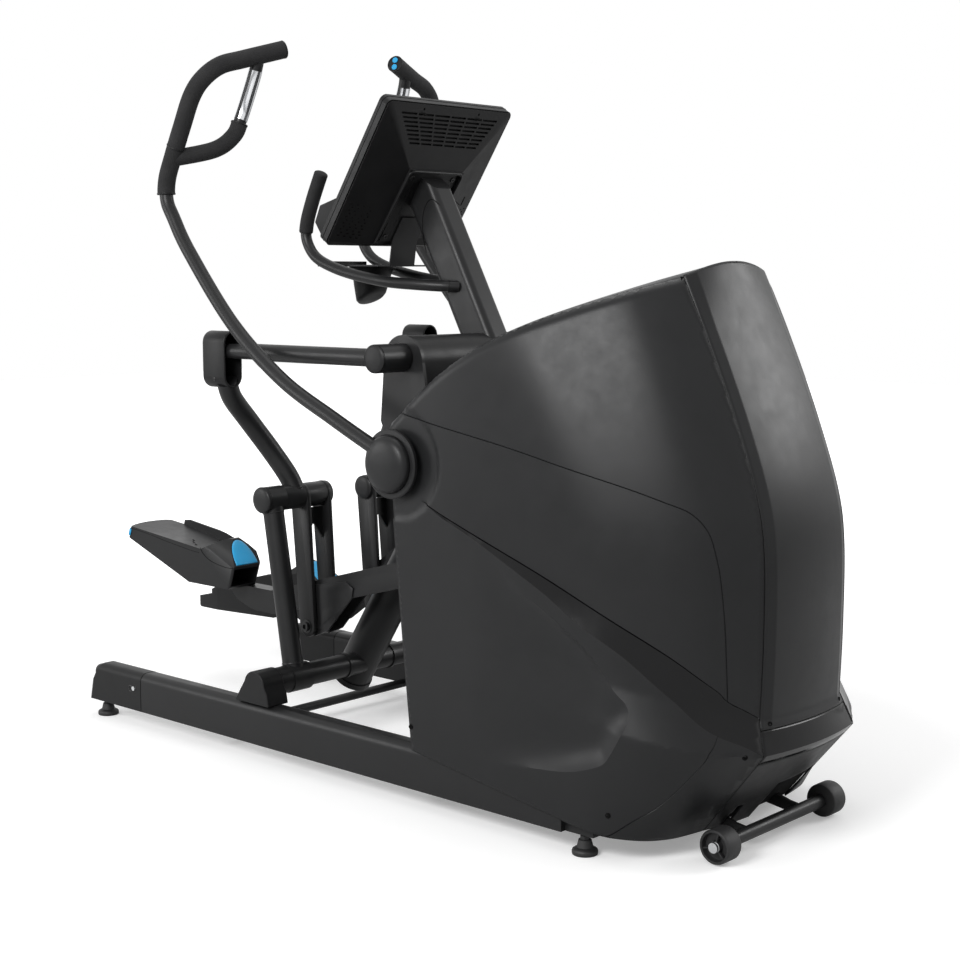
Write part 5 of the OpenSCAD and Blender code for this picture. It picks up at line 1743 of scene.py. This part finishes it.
@dataclass
class FootArms:
    """Foot arms, pedals and their bright trim."""

    spread: float = 19.5
    pitch: float = 19.5
    sole: Flat = (-428.0, 71.2)
    inner_y: float = 60.0
    width: float = 150.0
    toe: float = 163.0
    heel: float = -312.0

    def placed(self, form: Form, side: Side) -> Form:
        """Moves a form from the pedal's own frame to its arm.

        Args:
            form: the form.
            side: which side.

        Returns:
            The same form.
        """
        tilt = Matrix.Rotation(math.radians(self.pitch), 4, "Y")
        hang = Matrix.Translation((HANG[0], 0, HANG[1]))
        sole = Matrix.Translation((self.sole[0], self.inner_y, self.sole[1]))
        if side is Side.RIGHT:
            return form.moved(np.array(hang @ sole @ tilt)).mirrored(side)
        swing = Matrix.Rotation(math.radians(-self.spread), 4, "Y")
        return form.moved(np.array(hang @ swing @ sole @ tilt))

    @staticmethod
    def bed(x: float) -> float:
        """Returns the height of the footbed at a place along the pedal."""
        return 73 + 0.245 * (x + 135)

    def pad(self) -> Form:
        """Returns the domed bright pad on the toe cap."""
        foot, top = np.array([self.toe - 2, 124.0]), np.array([92.0, 171.0])
        reach = np.linalg.norm(top - foot)
        up = (top - foot) / reach
        out = np.array([up[1], -up[0]])
        form = Form()
        rings = []
        for inset, lift in ((0.0, -2.4), (0.0, 0.5), (0.6, 1.5), (2.2, 2.4), (7.0, 3.4),
                            (15.0, 4.1), (24.0, 4.4), (33.0, 4.5)):
            ring = []
            for a in np.linspace(-math.pi / 2, math.pi / 2, 33):
                u = 3 + inset * 0.55 + (reach - 8 - inset * 1.35) * math.cos(a)
                v = (37 - inset) * math.sin(a)
                x, z = foot + up * u + out * lift
                ring.append((x, 101 + v, z))
            rings.append(ring)
        return form.loft(np.array(rings))

    def clip(self) -> Form:
        """Returns the bright clip round the heel's outer corner."""
        line = [(self.heel, 62), (self.heel, 78), (self.heel + 4, 103), (self.heel + 11, 126),
                (self.heel + 22, self.width - 1), (self.heel + 30, self.width)]
        curve = spline(line, 6)
        d = unit(np.gradient(curve, axis=0))
        out = np.stack([-d[:, 1], d[:, 0]], axis=1)
        rings = []
        for (x, y), (ox, oy) in zip(curve, out):
            rings.append([(x + ox * o, y + oy * o, z) for o, z in
                          ((-1.0, 8), (1.0, 8), (1.9, 9.5), (1.9, 26.5), (1.0, 28), (-1.0, 28))])
        return Form().loft(np.array(rings))

    def lines(self) -> Form:
        """Returns the pedal's seams: across the bed and down the outer side."""
        w = self.width
        form = Form()
        across = spline([(-36, 40, 0.2), (-6, 62, 0.2), (12, 96, 0.2), (13, w - 16, 0.2)], 8)
        form.sweep(np.array([[x, y, self.bed(x) + lift] for x, y, lift in across]), 0.8, sides=8)
        down = spline([(16, 113), (30, 104), (62, 98), (104, 103), (140, 112), (158, 120)], 8)
        form.sweep(np.array([[x, w + 0.1, z] for x, z in down]), 0.8, sides=8)
        rest = spline([(self.heel + 26, 30), (-220, 46), (-120, 66), (-20, 88), (16, 98)], 8)
        form.sweep(np.array([[x, w + 0.1, z] for x, z in rest]), 0.55, sides=8)
        for x, y in ((-62, w - 44), (-44, w - 30), (-20, w - 18)):
            form.block((x, y, self.bed(x)), (16, 3.4, 1.0))
        return form

    def build(self) -> None:
        """Dresses both foot arms."""
        for side in Side:
            body = f"foot_arm_{side.word}"
            eased(f"foot_arm_{side.word}", POWDER, 2.0)
            eased(f"pedal_{side.word}", CHARCOAL, 4.0, 3)
            self.placed(self.pad(), side).piece(f"pedal_pad_{side.word}", BLUE, body,
                                                (f"pedal_trim_{side.word}",), angle=50)
            self.placed(self.clip(), side).piece(f"pedal_clip_{side.word}", BLUE, body)
            self.placed(self.lines(), side).piece(f"pedal_seams_{side.word}", PAINTED_SHADE_AND_BLACK_DETAIL, body)
        LOG.info("foot arms dressed")


@dataclass
class Drive:
    """Crank, pulley, belt, flywheel and their bearings inside the housing."""

    def build(self) -> None:
        """Dresses the drive and the steel head behind the mast."""
        for node, finish in (("crank", STEEL), ("crank_pulley", PULLEY), ("flywheel", CAST),
                             ("crank_bearings", STEEL), ("drive_belt", RUBBER),
                             ("hand_arm_stubs", STEEL), ("spine", POWDER),
                             ("cross_head", POWDER)):
            finish_node(node, finish)
        eased("head_cover", DARK_PLASTIC, 4.0, 3)
        LOG.info("drive dressed")


# -------------------------------------------------------------- the studio


@dataclass
class Studio:
    """Pale floor, soft lamps, plain sky and the camera."""

    turn: float = 42.209
    dip: float = 6.989
    lens: float = 63.14
    sensor: float = 36.0
    stand: Point = (3.84985, -3.05518, 1.22)   # the camera's place, in metres
    world: float = 0.45
    floor_glow: float = 0.28
    floor_half: float = 14.0
    lamps: tuple = (               # name, place, aim, size and power
        ("side", (0.75, -3.9, 2.7), (0.6, 0, 0.9), (1.8, 1.3), 145),
        ("rear_fill", (-3.0, -3.2, 1.6), (0, 0, 0.7), (1.6, 1.8), 45),
        ("front", (3.1, 3.6, 2.8), (0.9, 0, 0.9), (2.0, 1.6), 88),
        ("top", (0.0, 0.4, 4.6), (0.2, 0, 0.4), (3.4, 2.4), 40))

    def camera(self) -> None:
        """Sets the camera at the object's viewing angle."""
        data = bpy.data.cameras.new("camera")
        data.lens = self.lens
        data.sensor_width = self.sensor
        data.clip_end = 60
        thing = linked("camera", data)
        a, e = math.radians(self.turn), math.radians(self.dip)
        ahead = Vector((-math.sin(a) * math.cos(e), math.cos(a) * math.cos(e), -math.sin(e)))
        x, y, z = self.stand
        thing.location = (x - ORIGIN_X / 1000, y, z)
        thing.rotation_euler = ahead.to_track_quat("-Z", "Y").to_euler()
        bpy.context.scene.camera = thing

    def sky(self) -> None:
        """Lights the scene evenly and shows white to the eye."""
        world = bpy.data.worlds.new("studio")
        bpy.context.scene.world = world
        world.use_nodes = True
        nodes, links = world.node_tree.nodes, world.node_tree.links
        path = nodes.new("ShaderNodeLightPath")
        seen = nodes.new("ShaderNodeMath")
        seen.operation = "MAXIMUM"
        both = nodes.new("ShaderNodeMath")
        both.operation = "MAXIMUM"
        links.new(path.outputs["Is Camera Ray"], seen.inputs[0])
        links.new(path.outputs["Is Glossy Ray"], seen.inputs[1])
        links.new(seen.outputs[0], both.inputs[0])
        links.new(path.outputs["Is Transmission Ray"], both.inputs[1])
        level = nodes.new("ShaderNodeMapRange")
        level.inputs["To Min"].default_value = self.world
        level.inputs["To Max"].default_value = 1.0
        links.new(both.outputs[0], level.inputs["Value"])
        links.new(level.outputs["Result"], nodes["Background"].inputs["Strength"])
        nodes["Background"].inputs["Color"].default_value = (1, 1, 1, 1)

    def floor(self) -> None:
        """Lays the pale floor, which keeps the machine's shadow."""
        mesh, half = bpy.data.meshes.new("floor"), self.floor_half
        mesh.from_pydata([(x * half, y * half, 0) for x, y in
                          ((-1, -1), (1, -1), (1, 1), (-1, 1))], [], [(0, 1, 2, 3)])
        thing = linked("floor", mesh)
        made = bpy.data.materials.new("pale_floor")
        made.use_nodes = True
        nodes, links = made.node_tree.nodes, made.node_tree.links
        shader = nodes["Principled BSDF"]
        shader.inputs["Roughness"].default_value = 0.7
        shader.inputs["Specular IOR Level"].default_value = 0.1
        noise = nodes.new("ShaderNodeTexNoise")
        noise.inputs["Scale"].default_value = 3.0
        ramp = nodes.new("ShaderNodeValToRGB")
        ramp.color_ramp.elements[0].color = (0.82, 0.82, 0.82, 1)
        ramp.color_ramp.elements[1].color = (0.84, 0.84, 0.84, 1)
        links.new(noise.outputs["Fac"], ramp.inputs["Fac"])
        links.new(ramp.outputs["Color"], shader.inputs["Base Color"])
        path = nodes.new("ShaderNodeLightPath")
        place = nodes.new("ShaderNodeTexCoord")
        reach = nodes.new("ShaderNodeVectorMath")
        reach.operation = "LENGTH"
        far = nodes.new("ShaderNodeMapRange")
        for key, value in (("From Min", 1.3), ("From Max", 3.4), ("To Min", self.floor_glow),
                           ("To Max", 1.0)):
            far.inputs[key].default_value = value
        glow = nodes.new("ShaderNodeMath")
        glow.operation = "MULTIPLY"
        shader.inputs["Emission Color"].default_value = (1, 1, 1, 1)
        links.new(place.outputs["Object"], reach.inputs[0])
        links.new(reach.outputs["Value"], far.inputs["Value"])
        links.new(path.outputs["Is Camera Ray"], glow.inputs[0])
        links.new(far.outputs["Result"], glow.inputs[1])
        links.new(glow.outputs[0], shader.inputs["Emission Strength"])
        mesh.materials.append(made)

    def lamp(self, name: str, place: Point, aim: Point, size: Flat, power: float) -> None:
        """Hangs a soft box.

        Args:
            name: name of the lamp.
            place: where it hangs, in metres.
            aim: the point that it faces.
            size: its width and height.
            power: its power in watts.
        """
        data = bpy.data.lights.new(name, "AREA")
        data.shape = "RECTANGLE"
        data.size, data.size_y = size
        data.energy = power
        thing = linked(name, data)
        thing.location = place
        way = Vector(aim) - Vector(place)
        thing.rotation_euler = way.to_track_quat("-Z", "Y").to_euler()

    def build(self) -> None:
        """Sets up the whole studio."""
        bpy.context.scene.view_settings.view_transform = "Standard"
        self.camera()
        self.sky()
        self.floor()
        for lamp in self.lamps:
            self.lamp(*lamp)
        LOG.info("studio set")


def main() -> None:
    """Builds the trainer's sub-assemblies in order."""
    logging.basicConfig(level=logging.INFO, format="%(name)s: %(message)s")
    Studio().build()
    Base().build()
    Housing().build()
    for side in Side:
        RearLinkage(side).build()
    FootArms().build()
    Drive().build()
    for side in Side:
        HandArms(side).build()
    Console().build()
    bpy.context.view_layer.update()


if __name__ == "__main__":
    main()
